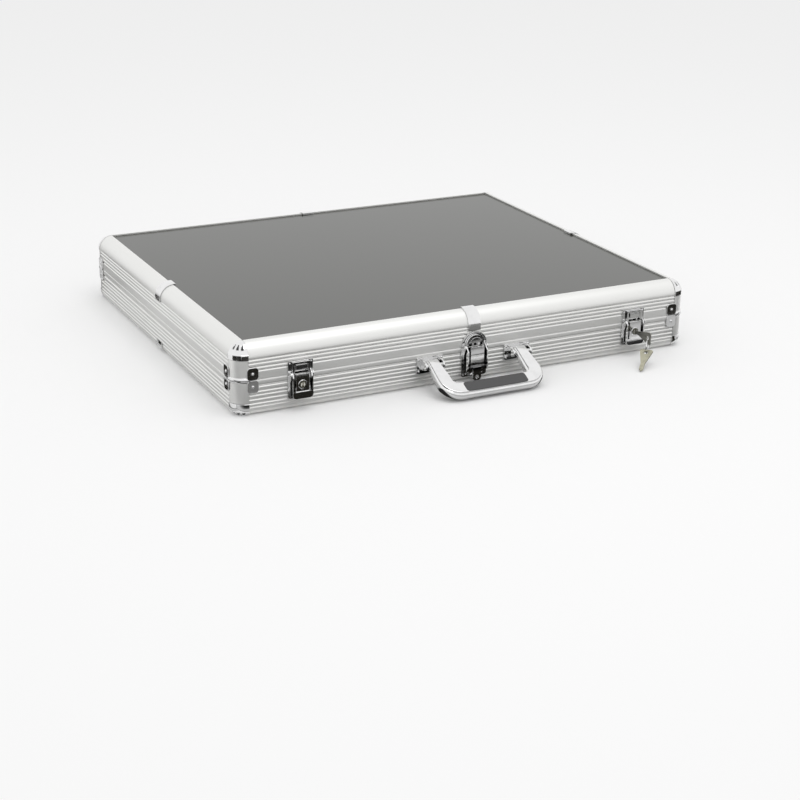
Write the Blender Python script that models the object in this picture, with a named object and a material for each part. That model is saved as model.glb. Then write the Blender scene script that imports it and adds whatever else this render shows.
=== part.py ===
"""Aluminium carrying case with a smoked window lid, key latches and a chrome handle.

The case lies flat on its bottom board: X runs along the front, Y goes from the front to the hinges and Z is up.
The origin is in the middle of the underside. Lengths are metres.
"""
import math
from dataclasses import dataclass

import bmesh
import bpy
from mathutils import Vector

MM = 0.001

# Case
WIDTH = 610 * MM
DEPTH = 508 * MM
HEIGHT = 86 * MM
PARTING = 43 * MM
GAP = 0.3 * MM
WALL = 4 * MM
RAIL = 17.5 * MM
POST_STEPS = 8

# Top rail and window
RAIL_HEIGHT = 18 * MM
RAIL_FOOT = HEIGHT - RAIL_HEIGHT
WINDOW_DROP = 2.1 * MM
WINDOW_TOP = HEIGHT - WINDOW_DROP
WINDOW_THICK = 3.6 * MM
WINDOW_BITE = 3.5 * MM
LEDGE = 2 * MM
COVE_DROP = 10 * MM

# Ribbed faces of the extrusions: the lid's grooves go down from the rail, the base's go up from the floor
LID_GROOVE_DROPS = (14.3 * MM, 10.0 * MM, 5.2 * MM, 1.0 * MM)
LID_GROOVES = tuple(RAIL_FOOT - drop for drop in LID_GROOVE_DROPS)
BASE_GROOVES = (10.8 * MM, 15.1 * MM, 20.0 * MM, 25.0 * MM, 29.3 * MM, 34.8 * MM)
GROOVE_DEPTH = 0.9 * MM
GROOVE_HALF = 1.0 * MM
BEAD_RISE = 0.7 * MM

# Bottom rail and board
BOTTOM_ROUND = 9.8 * MM
BOARD_THICK = 4.8 * MM
BOARD_LIP = 1.5 * MM
BOARD_BITE = 4.5 * MM
BOTTOM_LEDGE = 1.9 * MM
BOTTOM_COVE = 5 * MM
LINING_THICK = 6 * MM

# Tongue of the base in the lid's rebate
TONGUE_FACE = 2.2 * MM
TONGUE_RISE = 2.6 * MM
TONGUE_TOP = PARTING + TONGUE_RISE

# Corner hardware
CAP_PROUD = 0.6 * MM
TOP_CAP_FOOT = RAIL_FOOT - 1.1 * MM
BOTTOM_CAP_TOP = 15 * MM
BRACKET_THICK = 1.1 * MM
BAND_HALF = 3.2 * MM
TAB_NEAR = 15 * MM
TAB_FAR = 29 * MM
TAB_REACH = 15 * MM
TAB_ROUND = 4 * MM

# Joint straps
CLIP_WIDTH = 16.5 * MM
CLIP_THICK = 0.8 * MM
CLIP_OVER_WINDOW = 2.5 * MM
CLIP_LID_FOOT = RAIL_FOOT - 2 * MM
CLIP_BASE_TOP = 14 * MM

# Hinges
HINGE_INSET = 115 * MM
HINGE_X = WIDTH / 2 - HINGE_INSET
HINGE_STANDOFF = 4 * MM
HINGE_HALF = 22 * MM
KNUCKLE_R = 3 * MM
KNUCKLE_HALF = 7 * MM
HINGE_PIN_R = 1.5 * MM
LEAF_THICK = 1.4 * MM
LEAF_REACH = 20 * MM

# Handle
HANDLE_ARM_X = 59 * MM
HANDLE_PIVOT_D = 11 * MM
HANDLE_PIVOT_Z = 31 * MM
HANDLE_REST = math.radians(-24.5)
HANDLE_ARM_HALF = 9 * MM
HANDLE_HALF_WIDTH = HANDLE_ARM_X + HANDLE_ARM_HALF
HANDLE_INNER_R = 37 * MM
HANDLE_OUTER_R = 57 * MM
HANDLE_CORNER = 18 * MM
HANDLE_INNER_CORNER = 8 * MM
HANDLE_HALF_THICK = 5.2 * MM
HANDLE_BEVEL = 3.2 * MM
ARM_TAPER = 2.5 * MM
ARM_TAPER_END = 18 * MM
GRIP_HALF_LENGTH = 41.5 * MM
GRIP_NEAR_R = 39.2 * MM
GRIP_FAR_R = 54.8 * MM
GRIP_RECESS = 1.2 * MM
GRIP_CROWN = 1.0 * MM
GRIP_ROUND = 3.5 * MM
BRACKET_HALF = 17.5 * MM
BRACKET_FOOT = 19 * MM
BRACKET_TOP = 39 * MM
PLATE_THICK = 1.3 * MM
EAR_CLEARANCE = 1.6 * MM
EAR_X = HANDLE_ARM_HALF + EAR_CLEARANCE
EAR_THICK = 2 * MM
EAR_R = 5 * MM
HANDLE_PIN_R = 2 * MM


@dataclass(frozen=True)
class Finish:
    """Surface of a piece."""

    name: str
    colour: tuple
    roughness: float
    metallic: float


ALUMINIUM = Finish("ribbed_aluminium", (0.72, 0.72, 0.70), 0.35, 1.0)
CHROME = Finish("chrome", (0.80, 0.80, 0.80), 0.10, 1.0)
SMOKED = Finish("smoked_window", (0.03, 0.03, 0.03), 0.05, 0.0)
BOARD = Finish("black_board", (0.03, 0.03, 0.03), 0.60, 0.0)
FOAM = Finish("black_foam", (0.02, 0.02, 0.02), 0.95, 0.0)
INLAY = Finish("dark_inlay", (0.05, 0.05, 0.05), 0.45, 0.0)
NICKEL = Finish("pale_nickel", (0.66, 0.64, 0.52), 0.30, 1.0)


@dataclass(frozen=True)
class LatchSize:
    """Sizes of a draw latch, measured from its own centre line and from the case's front face."""

    x: float
    plate_half: float
    plate_foot: float
    cheek_x: float
    wall_x: float
    arm_x: float
    face_half: float
    lip_foot: float
    lip_top: float
    lever_d: float
    pivot_d: float
    bail_top: float
    lug_top: float
    keeper_top: float
    arched: bool


SHEET = 1.2 * MM
LEVER_PIVOT_Z = PARTING + 0.5 * MM
BAIL_PIVOT_Z = PARTING - 4.5 * MM
BAIL_PIVOT_D = 3.2 * MM
BAIL_THICK = 2.2 * MM
BAIL_ARM = 2.4 * MM
LEVER_WALL = 1.5 * MM
LEVER_PIN_R = 1.3 * MM
BAIL_PIN_R = 0.7 * MM
PIN_PLAY = 0.3 * MM
LOCK_Z = PARTING - 11 * MM
LOCK_R = 4 * MM
SLOT_DEPTH = 6 * MM
CHEEK_DEPTH = 4.2 * MM
TONGUE_HALF = 5.5 * MM
TONGUE_EYE_R = 2.6 * MM
LATCH_INSET = 80 * MM
LATCH_X = WIDTH / 2 - LATCH_INSET
BAIL_TOP = PARTING + 15 * MM
LUG_TOP = PARTING + 12.2 * MM
KEEPER_DROP = 4 * MM
KEEPER_SPRING = 1.1 * MM
FACE_RECESS = 1.5 * MM
PLATE_ROUND = 3 * MM
LIP_ROUND = 4 * MM

LEFT_LATCH = LatchSize(
    x=-LATCH_X, plate_half=15.5 * MM, plate_foot=14.2 * MM, cheek_x=12.9 * MM, wall_x=11 * MM, arm_x=8.3 * MM,
    face_half=8 * MM, lip_foot=15.5 * MM, lip_top=23.5 * MM, lever_d=9.2 * MM, pivot_d=5 * MM,
    bail_top=BAIL_TOP, lug_top=LUG_TOP, keeper_top=PARTING + 16 * MM, arched=False,
)
RIGHT_LATCH = LatchSize(**{**LEFT_LATCH.__dict__, "x": LATCH_X})
CENTRE_LATCH = LatchSize(
    x=0.0, plate_half=17 * MM, plate_foot=6 * MM, cheek_x=13.9 * MM, wall_x=12 * MM, arm_x=9.3 * MM,
    face_half=9 * MM, lip_foot=2 * MM, lip_top=20 * MM, lever_d=11.7 * MM, pivot_d=5 * MM,
    bail_top=BAIL_TOP, lug_top=LUG_TOP, keeper_top=CLIP_LID_FOOT - KEEPER_DROP, arched=True,
)

# Keys
KEY_THICK = 1.6 * MM
KEY_LENGTH = 38 * MM
KEY_BOW_HALF = 8 * MM
KEY_BOW_ROUND = 2.5 * MM
KEY_BOW_TURN = 103
KEY_NECK = 13 * MM
KEY_HOLE_AT = 32.5 * MM
KEY_BLADE_HALF = 2.6 * MM
KEY_HOLE_R = 2.6 * MM
KEY_IN_LOCK = 5 * MM
RING_R = 9 * MM
RING_WIRE = 0.7 * MM
RING_SLACK = 1.2 * MM
RING_TURN = math.radians(45)
SPARE_ROUND_RING = math.radians(45)
SPARE_LEAN = math.radians(24)

SMOOTH_ANGLE = math.radians(35)
FRONT = -DEPTH / 2


def clear_scene():
    """Remove whatever the scene holds."""
    for obj in list(bpy.data.objects):
        bpy.data.objects.remove(obj, do_unlink=True)


def finish_material(finish):
    """Return the Principled material of a finish."""
    made = bpy.data.materials.get(finish.name)
    if made is None:
        made = bpy.data.materials.new(finish.name)
        made.use_nodes = True
        made.diffuse_color = (*finish.colour, 1.0)
        shader = made.node_tree.nodes["Principled BSDF"]
        shader.inputs["Base Color"].default_value = (*finish.colour, 1.0)
        shader.inputs["Roughness"].default_value = finish.roughness
        shader.inputs["Metallic"].default_value = finish.metallic
    return made


def object_from(name, shape, finish):
    """Turn a bmesh in world place into an object with outward faces."""
    bmesh.ops.recalc_face_normals(shape, faces=shape.faces)
    mesh = bpy.data.meshes.new(name)
    shape.to_mesh(mesh)
    shape.free()
    mesh.materials.append(finish_material(finish))
    obj = bpy.data.objects.new(name, mesh)
    bpy.context.scene.collection.objects.link(obj)
    return obj


def combine(obj, operation, *tools):
    """Join to or cut from an object each tool in turn, and remove the tools."""
    for tool in tools:
        modifier = obj.modifiers.new(operation, "BOOLEAN")
        modifier.operation = operation
        modifier.solver = "EXACT"
        modifier.object = tool
        bpy.context.view_layer.update()
        graph = bpy.context.evaluated_depsgraph_get()
        before = obj.data
        result = bpy.data.meshes.new_from_object(obj.evaluated_get(graph))
        obj.modifiers.remove(modifier)
        obj.data = result
        bpy.data.meshes.remove(before)
        bpy.data.objects.remove(tool, do_unlink=True)
    obj.data.name = obj.name
    return obj


def fuse(obj, *tools):
    """Unite an object with the tools."""
    return combine(obj, "UNION", *tools)


def cut(obj, *tools):
    """Cut the tools out of an object."""
    return combine(obj, "DIFFERENCE", *tools)


def set_origin(obj, point):
    """Move an object's origin to a point, such as one on its joint's axis."""
    offset = Vector(point) - obj.location
    for vertex in obj.data.vertices:
        vertex.co -= offset
    obj.location = Vector(point)
    return obj


def prism(outline, place, start, end):
    """Extrude an outline of (a, b) points from start to end along the third axis of place."""
    shape = bmesh.new()
    face = shape.faces.new([shape.verts.new(place(a, b, start)) for a, b in outline])
    swept = bmesh.ops.extrude_face_region(shape, geom=[face])
    moved = [item for item in swept["geom"] if isinstance(item, bmesh.types.BMVert)]
    bmesh.ops.translate(shape, verts=moved, vec=Vector(place(0, 0, end)) - Vector(place(0, 0, start)))
    return shape


def arc(centre, radii, start, end, steps):
    """Points along an ellipse's arc between two angles in degrees."""
    points = []
    for step in range(steps + 1):
        angle = math.radians(start + (end - start) * step / steps)
        points.append((centre[0] + radii[0] * math.cos(angle), centre[1] + radii[1] * math.sin(angle)))
    return points


def circle(centre, radius, steps):
    """Points round a circle."""
    return arc(centre, (radius, radius), 0, 360 * (steps - 1) / steps, steps - 1)


def rectangle(left, bottom, right, top):
    """Corners of an upright rectangle."""
    return [(left, bottom), (right, bottom), (right, top), (left, top)]


def rounded_rectangle(half_a, half_b, radius, steps):
    """Outline of a centred rectangle with round corners."""
    points = []
    for turn, (sign_a, sign_b) in enumerate(((1, 1), (-1, 1), (-1, -1), (1, -1))):
        centre = (sign_a * (half_a - radius), sign_b * (half_b - radius))
        points += arc(centre, (radius, radius), 90 * turn, 90 * turn + 90, steps)
    return points


def rounded_foot(half, foot, top, radius):
    """Outline of an upright plate with a square top and round lower corners."""
    left = arc((radius - half, foot + radius), (radius, radius), 180, 270, 4)
    right = arc((half - radius, foot + radius), (radius, radius), 270, 360, 4)
    return left + right + [(half, top), (-half, top)]


def front_place(x_centre):
    """Place for outlines drawn on the front face: across, up and outwards."""
    return lambda across, up, out: (x_centre + across, FRONT - out, up)


def profile_place(x_centre):
    """Place for outlines drawn in the section of the front: outwards, up and across."""
    return lambda out, up, across: (x_centre + across, FRONT - out, up)


def flat_place(x, y, z):
    """Identity place, for outlines drawn on the ground plane."""
    return x, y, z


# Case shell


def ribs(grooves):
    """Points of the ribbed outer face, from the lowest groove up."""
    points = []
    for height in grooves:
        points += [(0.0, height - GROOVE_HALF), (GROOVE_DEPTH, height), (0.0, height + GROOVE_HALF)]
    return points


def top_rail(reach):
    """Outer round of the top rail, the window's groove and the cove below it, down to the wall."""
    groove_top = WINDOW_TOP + GAP
    groove_foot = WINDOW_TOP - WINDOW_THICK - GAP
    outer = arc((RAIL, RAIL_FOOT), (RAIL, HEIGHT - RAIL_FOOT), 180, 90, 7)[:-1]
    inner = [
        (reach, HEIGHT), (reach, groove_top), (RAIL - WINDOW_BITE, groove_top), (RAIL - WINDOW_BITE, groove_foot),
        (reach, groove_foot), (reach, groove_foot - LEDGE), (WALL, groove_foot - LEDGE - COVE_DROP),
    ]
    return outer + inner


def lid_section():
    """Section of a lid side as (inwards, up) points."""
    seat = PARTING + GAP / 2
    rebate = TONGUE_FACE - GAP
    foot = [(WALL, TONGUE_TOP + GAP), (rebate, TONGUE_TOP + GAP), (rebate, seat), (0.0, seat)]
    return foot + ribs(LID_GROOVES[:-1]) + ribs(LID_GROOVES[-1:])[:-1] + top_rail(RAIL)


def bead():
    """Round bead along the top of the base's outer face."""
    foot = BASE_GROOVES[-1] + GROOVE_HALF
    top = PARTING - GAP / 2
    points = []
    for step in range(5):
        share = step / 4
        rise = BEAD_RISE * (2 * share - 1) ** 2
        points.append((rise, foot + (top - foot) * share))
    return points


def bottom_rail(reach):
    """Inner side of the bottom rail from the wall to the floor, then its outer round."""
    groove_top = BOARD_THICK + GAP
    inner = [
        (WALL, groove_top + BOTTOM_LEDGE + BOTTOM_COVE), (reach, groove_top + BOTTOM_LEDGE), (reach, groove_top),
        (RAIL - BOARD_BITE, groove_top), (RAIL - BOARD_BITE, BOARD_LIP), (reach, BOARD_LIP), (reach, 0.0),
    ]
    return inner + arc((BOTTOM_ROUND, BOTTOM_ROUND), (BOTTOM_ROUND, BOTTOM_ROUND), 270, 180, 5)


def base_section():
    """Section of a base side as (inwards, up) points."""
    seat = PARTING - GAP / 2
    tongue = [(TONGUE_FACE, seat), (TONGUE_FACE, TONGUE_TOP), (WALL, TONGUE_TOP)]
    outer = ribs(BASE_GROOVES)[1:-1]
    return bottom_rail(RAIL) + outer + bead() + tongue


def side_place(side):
    """Place for a side's section: inwards, up and along the side."""
    places = {
        "front": lambda inward, up, along: (along, FRONT + inward, up),
        "back": lambda inward, up, along: (along, -FRONT - inward, up),
        "left": lambda inward, up, along: (-WIDTH / 2 + inward, along, up),
        "right": lambda inward, up, along: (WIDTH / 2 - inward, along, up),
    }
    return places[side]


def side_half(side):
    """Half the straight length of a side, between its corners."""
    length = WIDTH if side in ("front", "back") else DEPTH
    return length / 2 - RAIL - GAP


SIDES = ("front", "back", "left", "right")
CORNERS = {"front_left": (-1, -1), "front_right": (1, -1), "back_left": (-1, 1), "back_right": (1, 1)}


def build_sides():
    """Ribbed extrusions of the lid and the base."""
    for side in SIDES:
        half = side_half(side)
        place = side_place(side)
        object_from(f"lid_side_{side}", prism(lid_section(), place, -half, half), ALUMINIUM)
        object_from(f"base_side_{side}", prism(base_section(), place, -half, half), ALUMINIUM)


def corner_axis(signs):
    """Vertical axis of a rounded corner."""
    return Vector((signs[0] * (WIDTH / 2 - RAIL), signs[1] * (DEPTH / 2 - RAIL), 0.0))


def corner_turn(section, signs, proud):
    """Sweep a section of (inwards, up) points round a corner of the case."""
    centre = corner_axis(signs)
    shape = bmesh.new()
    outline = [shape.verts.new(centre + Vector((signs[0] * (RAIL + proud - a), 0.0, b))) for a, b in section]
    face = shape.faces.new(outline)
    quarter = math.pi / 2 * signs[0] * signs[1]
    bmesh.ops.spin(
        shape, geom=[face, *face.edges, *face.verts], cent=centre, axis=(0, 0, 1), angle=quarter,
        steps=POST_STEPS, use_duplicate=False,
    )
    return shape


def face_place(signs, turned):
    """Place on one of the two faces beside a corner: along from the corner, up and inwards."""
    def place(along, up, inward):
        near, far = (inward, along) if turned else (along, inward)
        return signs[0] * (WIDTH / 2 - near), signs[1] * (DEPTH / 2 - far), up

    return place


def bracket_tabs(signs, foot, top, band_foot, band_top):
    """Two riveted tabs of a parting bracket with their arms, one on each face beside a corner."""
    tabs = []
    outer = -GAP - BRACKET_THICK
    for turned in (False, True):
        place = face_place(signs, turned)
        outline = rounded_rectangle((TAB_FAR - TAB_NEAR) / 2, (top - foot) / 2, TAB_ROUND, 3)
        plate = [(a + (TAB_NEAR + TAB_FAR) / 2, b + (foot + top) / 2) for a, b in outline]
        arm = rectangle(RAIL - 4 * GAP, band_foot, TAB_FAR, band_top)
        tab = object_from("bracket_tab", prism(plate, place, outer, -GAP), CHROME)
        tabs.append(fuse(tab, object_from("bracket_arm", prism(arm, place, outer, -GAP), CHROME)))
    return tabs


def build_corners():
    """Corner posts with their parting brackets, and the chrome caps above and below."""
    lid_foot = PARTING + GAP / 2
    base_top = PARTING - GAP / 2
    band = -GAP - BRACKET_THICK
    rebate = TONGUE_FACE - GAP
    lid_post = [
        (WALL, TONGUE_TOP + GAP), (rebate, TONGUE_TOP + GAP), (rebate, lid_foot), (band, lid_foot),
        (band, lid_foot + BAND_HALF), (0.0, lid_foot + BAND_HALF), (0.0, TOP_CAP_FOOT - GAP),
        (WALL, TOP_CAP_FOOT - GAP),
    ]
    base_post = [
        (WALL, BOTTOM_CAP_TOP + GAP), (0.0, BOTTOM_CAP_TOP + GAP), (0.0, base_top - BAND_HALF),
        (band, base_top - BAND_HALF), (band, base_top), (TONGUE_FACE, base_top), (TONGUE_FACE, TONGUE_TOP),
        (WALL, TONGUE_TOP),
    ]
    reach = RAIL - 2 * GAP
    top_cap = [(WALL, TOP_CAP_FOOT), (0.0, TOP_CAP_FOOT)] + top_rail(reach)
    bottom_cap = [(0.0, BOTTOM_CAP_TOP), (WALL, BOTTOM_CAP_TOP)] + bottom_rail(reach)
    for corner, signs in CORNERS.items():
        lid = object_from(f"lid_corner_{corner}", corner_turn(lid_post, signs, 0.0), ALUMINIUM)
        fuse(lid, *bracket_tabs(signs, lid_foot, lid_foot + TAB_REACH, lid_foot, lid_foot + BAND_HALF))
        base = object_from(f"base_corner_{corner}", corner_turn(base_post, signs, 0.0), ALUMINIUM)
        fuse(base, *bracket_tabs(signs, base_top - TAB_REACH, base_top, base_top - BAND_HALF, base_top))
        object_from(f"lid_cap_{corner}", corner_turn(top_cap, signs, CAP_PROUD), CHROME)
        object_from(f"base_cap_{corner}", corner_turn(bottom_cap, signs, CAP_PROUD), CHROME)


def build_panels():
    """Bottom board, foam lining and lid window, with edges in the rails' grooves."""
    rail_edge = RAIL + GAP
    tongue_edge = RAIL - BOARD_BITE + GAP
    tongue = rounded_rectangle(WIDTH / 2 - tongue_edge, DEPTH / 2 - tongue_edge, RAIL - tongue_edge, 4)
    board = object_from("base_panel", prism(tongue, flat_place, BOARD_LIP + GAP, BOARD_THICK), BOARD)
    middle = rounded_rectangle(WIDTH / 2 - rail_edge, DEPTH / 2 - rail_edge, GAP, 1)
    fuse(board, object_from("board_middle", prism(middle, flat_place, 0.0, BOARD_THICK - GAP), BOARD))

    pad_foot = BOARD_THICK + GAP
    pad = rounded_rectangle(WIDTH / 2 - rail_edge, DEPTH / 2 - rail_edge, GAP, 1)
    object_from("base_lining", prism(pad, flat_place, pad_foot, pad_foot + LINING_THICK), FOAM)

    edge = RAIL - WINDOW_BITE + GAP
    pane = rounded_rectangle(WIDTH / 2 - edge, DEPTH / 2 - edge, RAIL - edge, 4)
    object_from("lid_window", prism(pane, flat_place, WINDOW_TOP - WINDOW_THICK, WINDOW_TOP), SMOKED)


def lid_clip_section():
    """Strap over the top rail: its inner and outer faces follow the rail."""
    near = GAP
    far = GAP + CLIP_THICK
    centre = (RAIL, RAIL_FOOT)
    rise = HEIGHT - RAIL_FOOT
    inner = arc(centre, (RAIL + near, rise + near), 180, 90, 8)
    outer = arc(centre, (RAIL + far, rise + far), 90, 180, 8)
    tip = RAIL + CLIP_OVER_WINDOW
    turn_down = WINDOW_TOP + 2 * GAP
    over = [(tip, HEIGHT + near), (tip, turn_down), (tip + CLIP_THICK, turn_down), (tip + CLIP_THICK, HEIGHT + far)]
    return [(-near, CLIP_LID_FOOT)] + inner + over + outer + [(-far, CLIP_LID_FOOT)]


def base_clip_section():
    """Strap round the outside of the bottom rail, clear of the floor."""
    centre = (BOTTOM_ROUND, BOTTOM_ROUND)
    near = BOTTOM_ROUND + GAP
    far = BOTTOM_ROUND + GAP + CLIP_THICK
    inner = arc(centre, (near, near), 180, 230, 5)
    outer = arc(centre, (far, far), 230, 180, 5)
    return [(-GAP, CLIP_BASE_TOP)] + inner + outer + [(-GAP - CLIP_THICK, CLIP_BASE_TOP)]


def build_clips():
    """Joint straps at the middle of each side. The centre latch stands where the base's front one would be."""
    half = CLIP_WIDTH / 2
    for side in SIDES:
        place = side_place(side)
        object_from(f"lid_clip_{side}", prism(lid_clip_section(), place, -half, half), CHROME)
        if side != "front":
            object_from(f"base_clip_{side}", prism(base_clip_section(), place, -half, half), CHROME)


# Hinges


def hinge_place(x_centre):
    """Place for outlines drawn in the section of the back: outwards, up and across."""
    return lambda out, up, across: (x_centre + across, -FRONT + out, up)


def hinge_leaf(upward):
    """Section of a leaf: a flat plate that runs into half of its knuckle."""
    sign = 1 if upward else -1
    face = GAP + LEAF_THICK
    start = PARTING + sign * GAP
    tip = PARTING + sign * LEAF_REACH
    return [(GAP, start), (GAP, tip), (face, tip), (face, PARTING + sign * KNUCKLE_R), (HINGE_STANDOFF, start)]


def knuckle(x_centre, start, end, radius):
    """Round knuckle or pin on the hinge axis."""
    ring = circle((HINGE_STANDOFF, PARTING), radius, 16)
    return object_from("knuckle", prism(ring, hinge_place(x_centre), start, end), CHROME)


def build_hinges():
    """Two butt hinges on the back: the base leaf carries the pin, the lid leaf turns on it."""
    for side, x_centre in (("left", -HINGE_X), ("right", HINGE_X)):
        place = hinge_place(x_centre)
        base = object_from(
            f"hinge_{side}_base_leaf", prism(hinge_leaf(False), place, -HINGE_HALF, HINGE_HALF), CHROME)
        outer_knuckles = knuckle(x_centre, -HINGE_HALF, HINGE_HALF, KNUCKLE_R)
        waist = circle((HINGE_STANDOFF, PARTING), KNUCKLE_R + 2 * GAP, 16)
        waist_cut = object_from("waist", prism(waist, place, -KNUCKLE_HALF, KNUCKLE_HALF), CHROME)
        fuse(base, outer_knuckles)
        cut(base, waist_cut)
        fuse(base, knuckle(x_centre, -HINGE_HALF + GAP, HINGE_HALF - GAP, HINGE_PIN_R))

        lid = object_from(f"hinge_{side}_lid_leaf", prism(hinge_leaf(True), place, -HINGE_HALF, HINGE_HALF), CHROME)
        middle_half = KNUCKLE_HALF - GAP
        fuse(lid, knuckle(x_centre, -middle_half, middle_half, KNUCKLE_R))
        around = circle((HINGE_STANDOFF, PARTING), KNUCKLE_R + 2 * GAP, 16)
        for start, end in ((-HINGE_HALF - GAP, -middle_half), (middle_half, HINGE_HALF + GAP)):
            cut(lid, object_from("side_waist", prism(around, place, start, end), CHROME))
        cut(lid, knuckle(x_centre, -HINGE_HALF, HINGE_HALF, HINGE_PIN_R + PIN_PLAY))
        set_origin(lid, (x_centre, -FRONT + HINGE_STANDOFF, PARTING))


# Handle


def handle_place(across, along, normal):
    """Place in the handle's own plane: across, along from the pivot and off its face."""
    out = HANDLE_PIVOT_D + along * math.cos(HANDLE_REST) - normal * math.sin(HANDLE_REST)
    up = HANDLE_PIVOT_Z + along * math.sin(HANDLE_REST) + normal * math.cos(HANDLE_REST)
    return across, FRONT - out, up


def handle_outline():
    """Outer edge of the handle, then back along its finger opening."""
    outer_x = HANDLE_HALF_WIDTH - HANDLE_CORNER
    outer_r = HANDLE_OUTER_R - HANDLE_CORNER
    inner_edge = HANDLE_ARM_X - HANDLE_ARM_HALF
    inner_x = inner_edge - HANDLE_INNER_CORNER
    inner_r = HANDLE_INNER_R - HANDLE_INNER_CORNER
    outer_radii = (HANDLE_CORNER, HANDLE_CORNER)
    inner_radii = (HANDLE_INNER_CORNER, HANDLE_INNER_CORNER)
    points = [(HANDLE_HALF_WIDTH - ARM_TAPER, -EAR_R), (HANDLE_HALF_WIDTH, ARM_TAPER_END)]
    points += arc((outer_x, outer_r), outer_radii, 0, 90, 6)
    points += arc((-outer_x, outer_r), outer_radii, 90, 180, 6)
    points += [(-HANDLE_HALF_WIDTH, ARM_TAPER_END), (-HANDLE_HALF_WIDTH + ARM_TAPER, -EAR_R)]
    points += [(-inner_edge - ARM_TAPER, -EAR_R), (-inner_edge, ARM_TAPER_END)]
    points += arc((-inner_x, inner_r), inner_radii, 180, 90, 4)
    points += arc((inner_x, inner_r), inner_radii, 90, 0, 4)
    return points + [(inner_edge, ARM_TAPER_END), (inner_edge + ARM_TAPER, -EAR_R)]


def beveled(shape, width, segments):
    """Round the rims of a prism's two flat ends."""
    most = max(len(face.verts) for face in shape.faces)
    rims = {edge for face in shape.faces if len(face.verts) == most for edge in face.edges}
    bmesh.ops.bevel(shape, geom=list(rims), offset=width, segments=segments, profile=0.5, affect="EDGES")
    return shape


def grip_outline(margin):
    """Rounded outline of the inlay's recess in the grip, drawn in by a margin."""
    middle = (GRIP_NEAR_R + GRIP_FAR_R) / 2
    half = (GRIP_FAR_R - GRIP_NEAR_R) / 2 - margin
    outline = rounded_rectangle(GRIP_HALF_LENGTH - margin, half, GRIP_ROUND, 4)
    return [(across, along + middle) for across, along in outline]


def build_handle():
    """Cast handle with its inlay, hung between the ears of two brackets."""
    pivot = (0.0, FRONT - HANDLE_PIVOT_D, HANDLE_PIVOT_Z)
    body = prism(handle_outline(), handle_place, -HANDLE_HALF_THICK, HANDLE_HALF_THICK)
    frame = object_from("handle_frame", beveled(body, HANDLE_BEVEL, 2), CHROME)
    floor = HANDLE_HALF_THICK - GRIP_RECESS
    above = HANDLE_HALF_THICK + GRIP_CROWN
    bore = circle((HANDLE_PIVOT_D, HANDLE_PIVOT_Z), HANDLE_PIN_R + PIN_PLAY, 16)
    cut(
        frame,
        object_from("grip_recess", prism(grip_outline(0.0), handle_place, floor, above), CHROME),
        object_from("handle_bore", prism(bore, profile_place(0.0), -WIDTH / 4, WIDTH / 4), CHROME),
    )
    set_origin(frame, pivot)
    inlay = beveled(prism(grip_outline(GAP), handle_place, floor + GAP, above), GRIP_CROWN / 2, 1)
    set_origin(object_from("handle_grip", inlay, INLAY), pivot)

    for side, x_centre in (("left", -HANDLE_ARM_X), ("right", HANDLE_ARM_X)):
        height = (BRACKET_TOP - BRACKET_FOOT) / 2
        middle = (BRACKET_TOP + BRACKET_FOOT) / 2
        plate = [(a, b + middle) for a, b in rounded_rectangle(BRACKET_HALF, height, EAR_THICK, 3)]
        name = f"handle_bracket_{side}"
        bracket = object_from(name, prism(plate, front_place(x_centre), GAP, GAP + PLATE_THICK), CHROME)
        ear = [(PLATE_THICK, HANDLE_PIVOT_Z - EAR_R - EAR_THICK)]
        ear += arc((HANDLE_PIVOT_D, HANDLE_PIVOT_Z), (EAR_R, EAR_R), -90, 90, 8)
        ear += [(PLATE_THICK, HANDLE_PIVOT_Z + EAR_R + EAR_THICK)]
        pin = circle((HANDLE_PIVOT_D, HANDLE_PIVOT_Z), HANDLE_PIN_R, 16)
        place = profile_place(x_centre)
        for sign in (-1, 1):
            fuse(bracket, object_from("ear", prism(ear, place, sign * EAR_X, sign * (EAR_X + EAR_THICK)), CHROME))
        reach = EAR_X + EAR_THICK - GAP
        fuse(bracket, object_from("pin", prism(pin, place, -reach, reach), CHROME))


# Latches


def mirrored(name, outline, size, near, far, finish):
    """Two equal plates in the latch's section, one on each side of its centre line."""
    place = profile_place(size.x)
    return [object_from(name, prism(outline, place, sign * near, sign * far), finish) for sign in (-1, 1)]


def latch_base_plate(name, size):
    """Riveted plate with two cheeks that carry the lever."""
    top = PARTING - 2 * GAP
    step = 2 * SHEET
    place = front_place(size.x)
    outline = rounded_foot(size.plate_half, size.plate_foot, top, PLATE_ROUND)
    plate = object_from(name, prism(outline, place, GAP, GAP + SHEET), CHROME)
    ear = size.pivot_d - BAIL_PIVOT_D + SHEET
    cheek = [(SHEET, size.plate_foot + step), (CHEEK_DEPTH, size.plate_foot + step)]
    cheek += [(CHEEK_DEPTH, BAIL_PIVOT_Z - CHEEK_DEPTH)]
    cheek += arc((size.pivot_d, LEVER_PIVOT_Z), (ear, ear), -20, 180, 8)
    cheek += [(size.pivot_d - ear, top), (SHEET, top)]
    fuse(plate, *mirrored("cheek", cheek, size, size.cheek_x, size.cheek_x + SHEET, CHROME))
    hole = circle((size.pivot_d, LEVER_PIVOT_Z), LEVER_PIN_R + PIN_PLAY, 12)
    reach = size.cheek_x + step
    return cut(plate, object_from("hole", prism(hole, profile_place(size.x), -reach, reach), CHROME))


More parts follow.
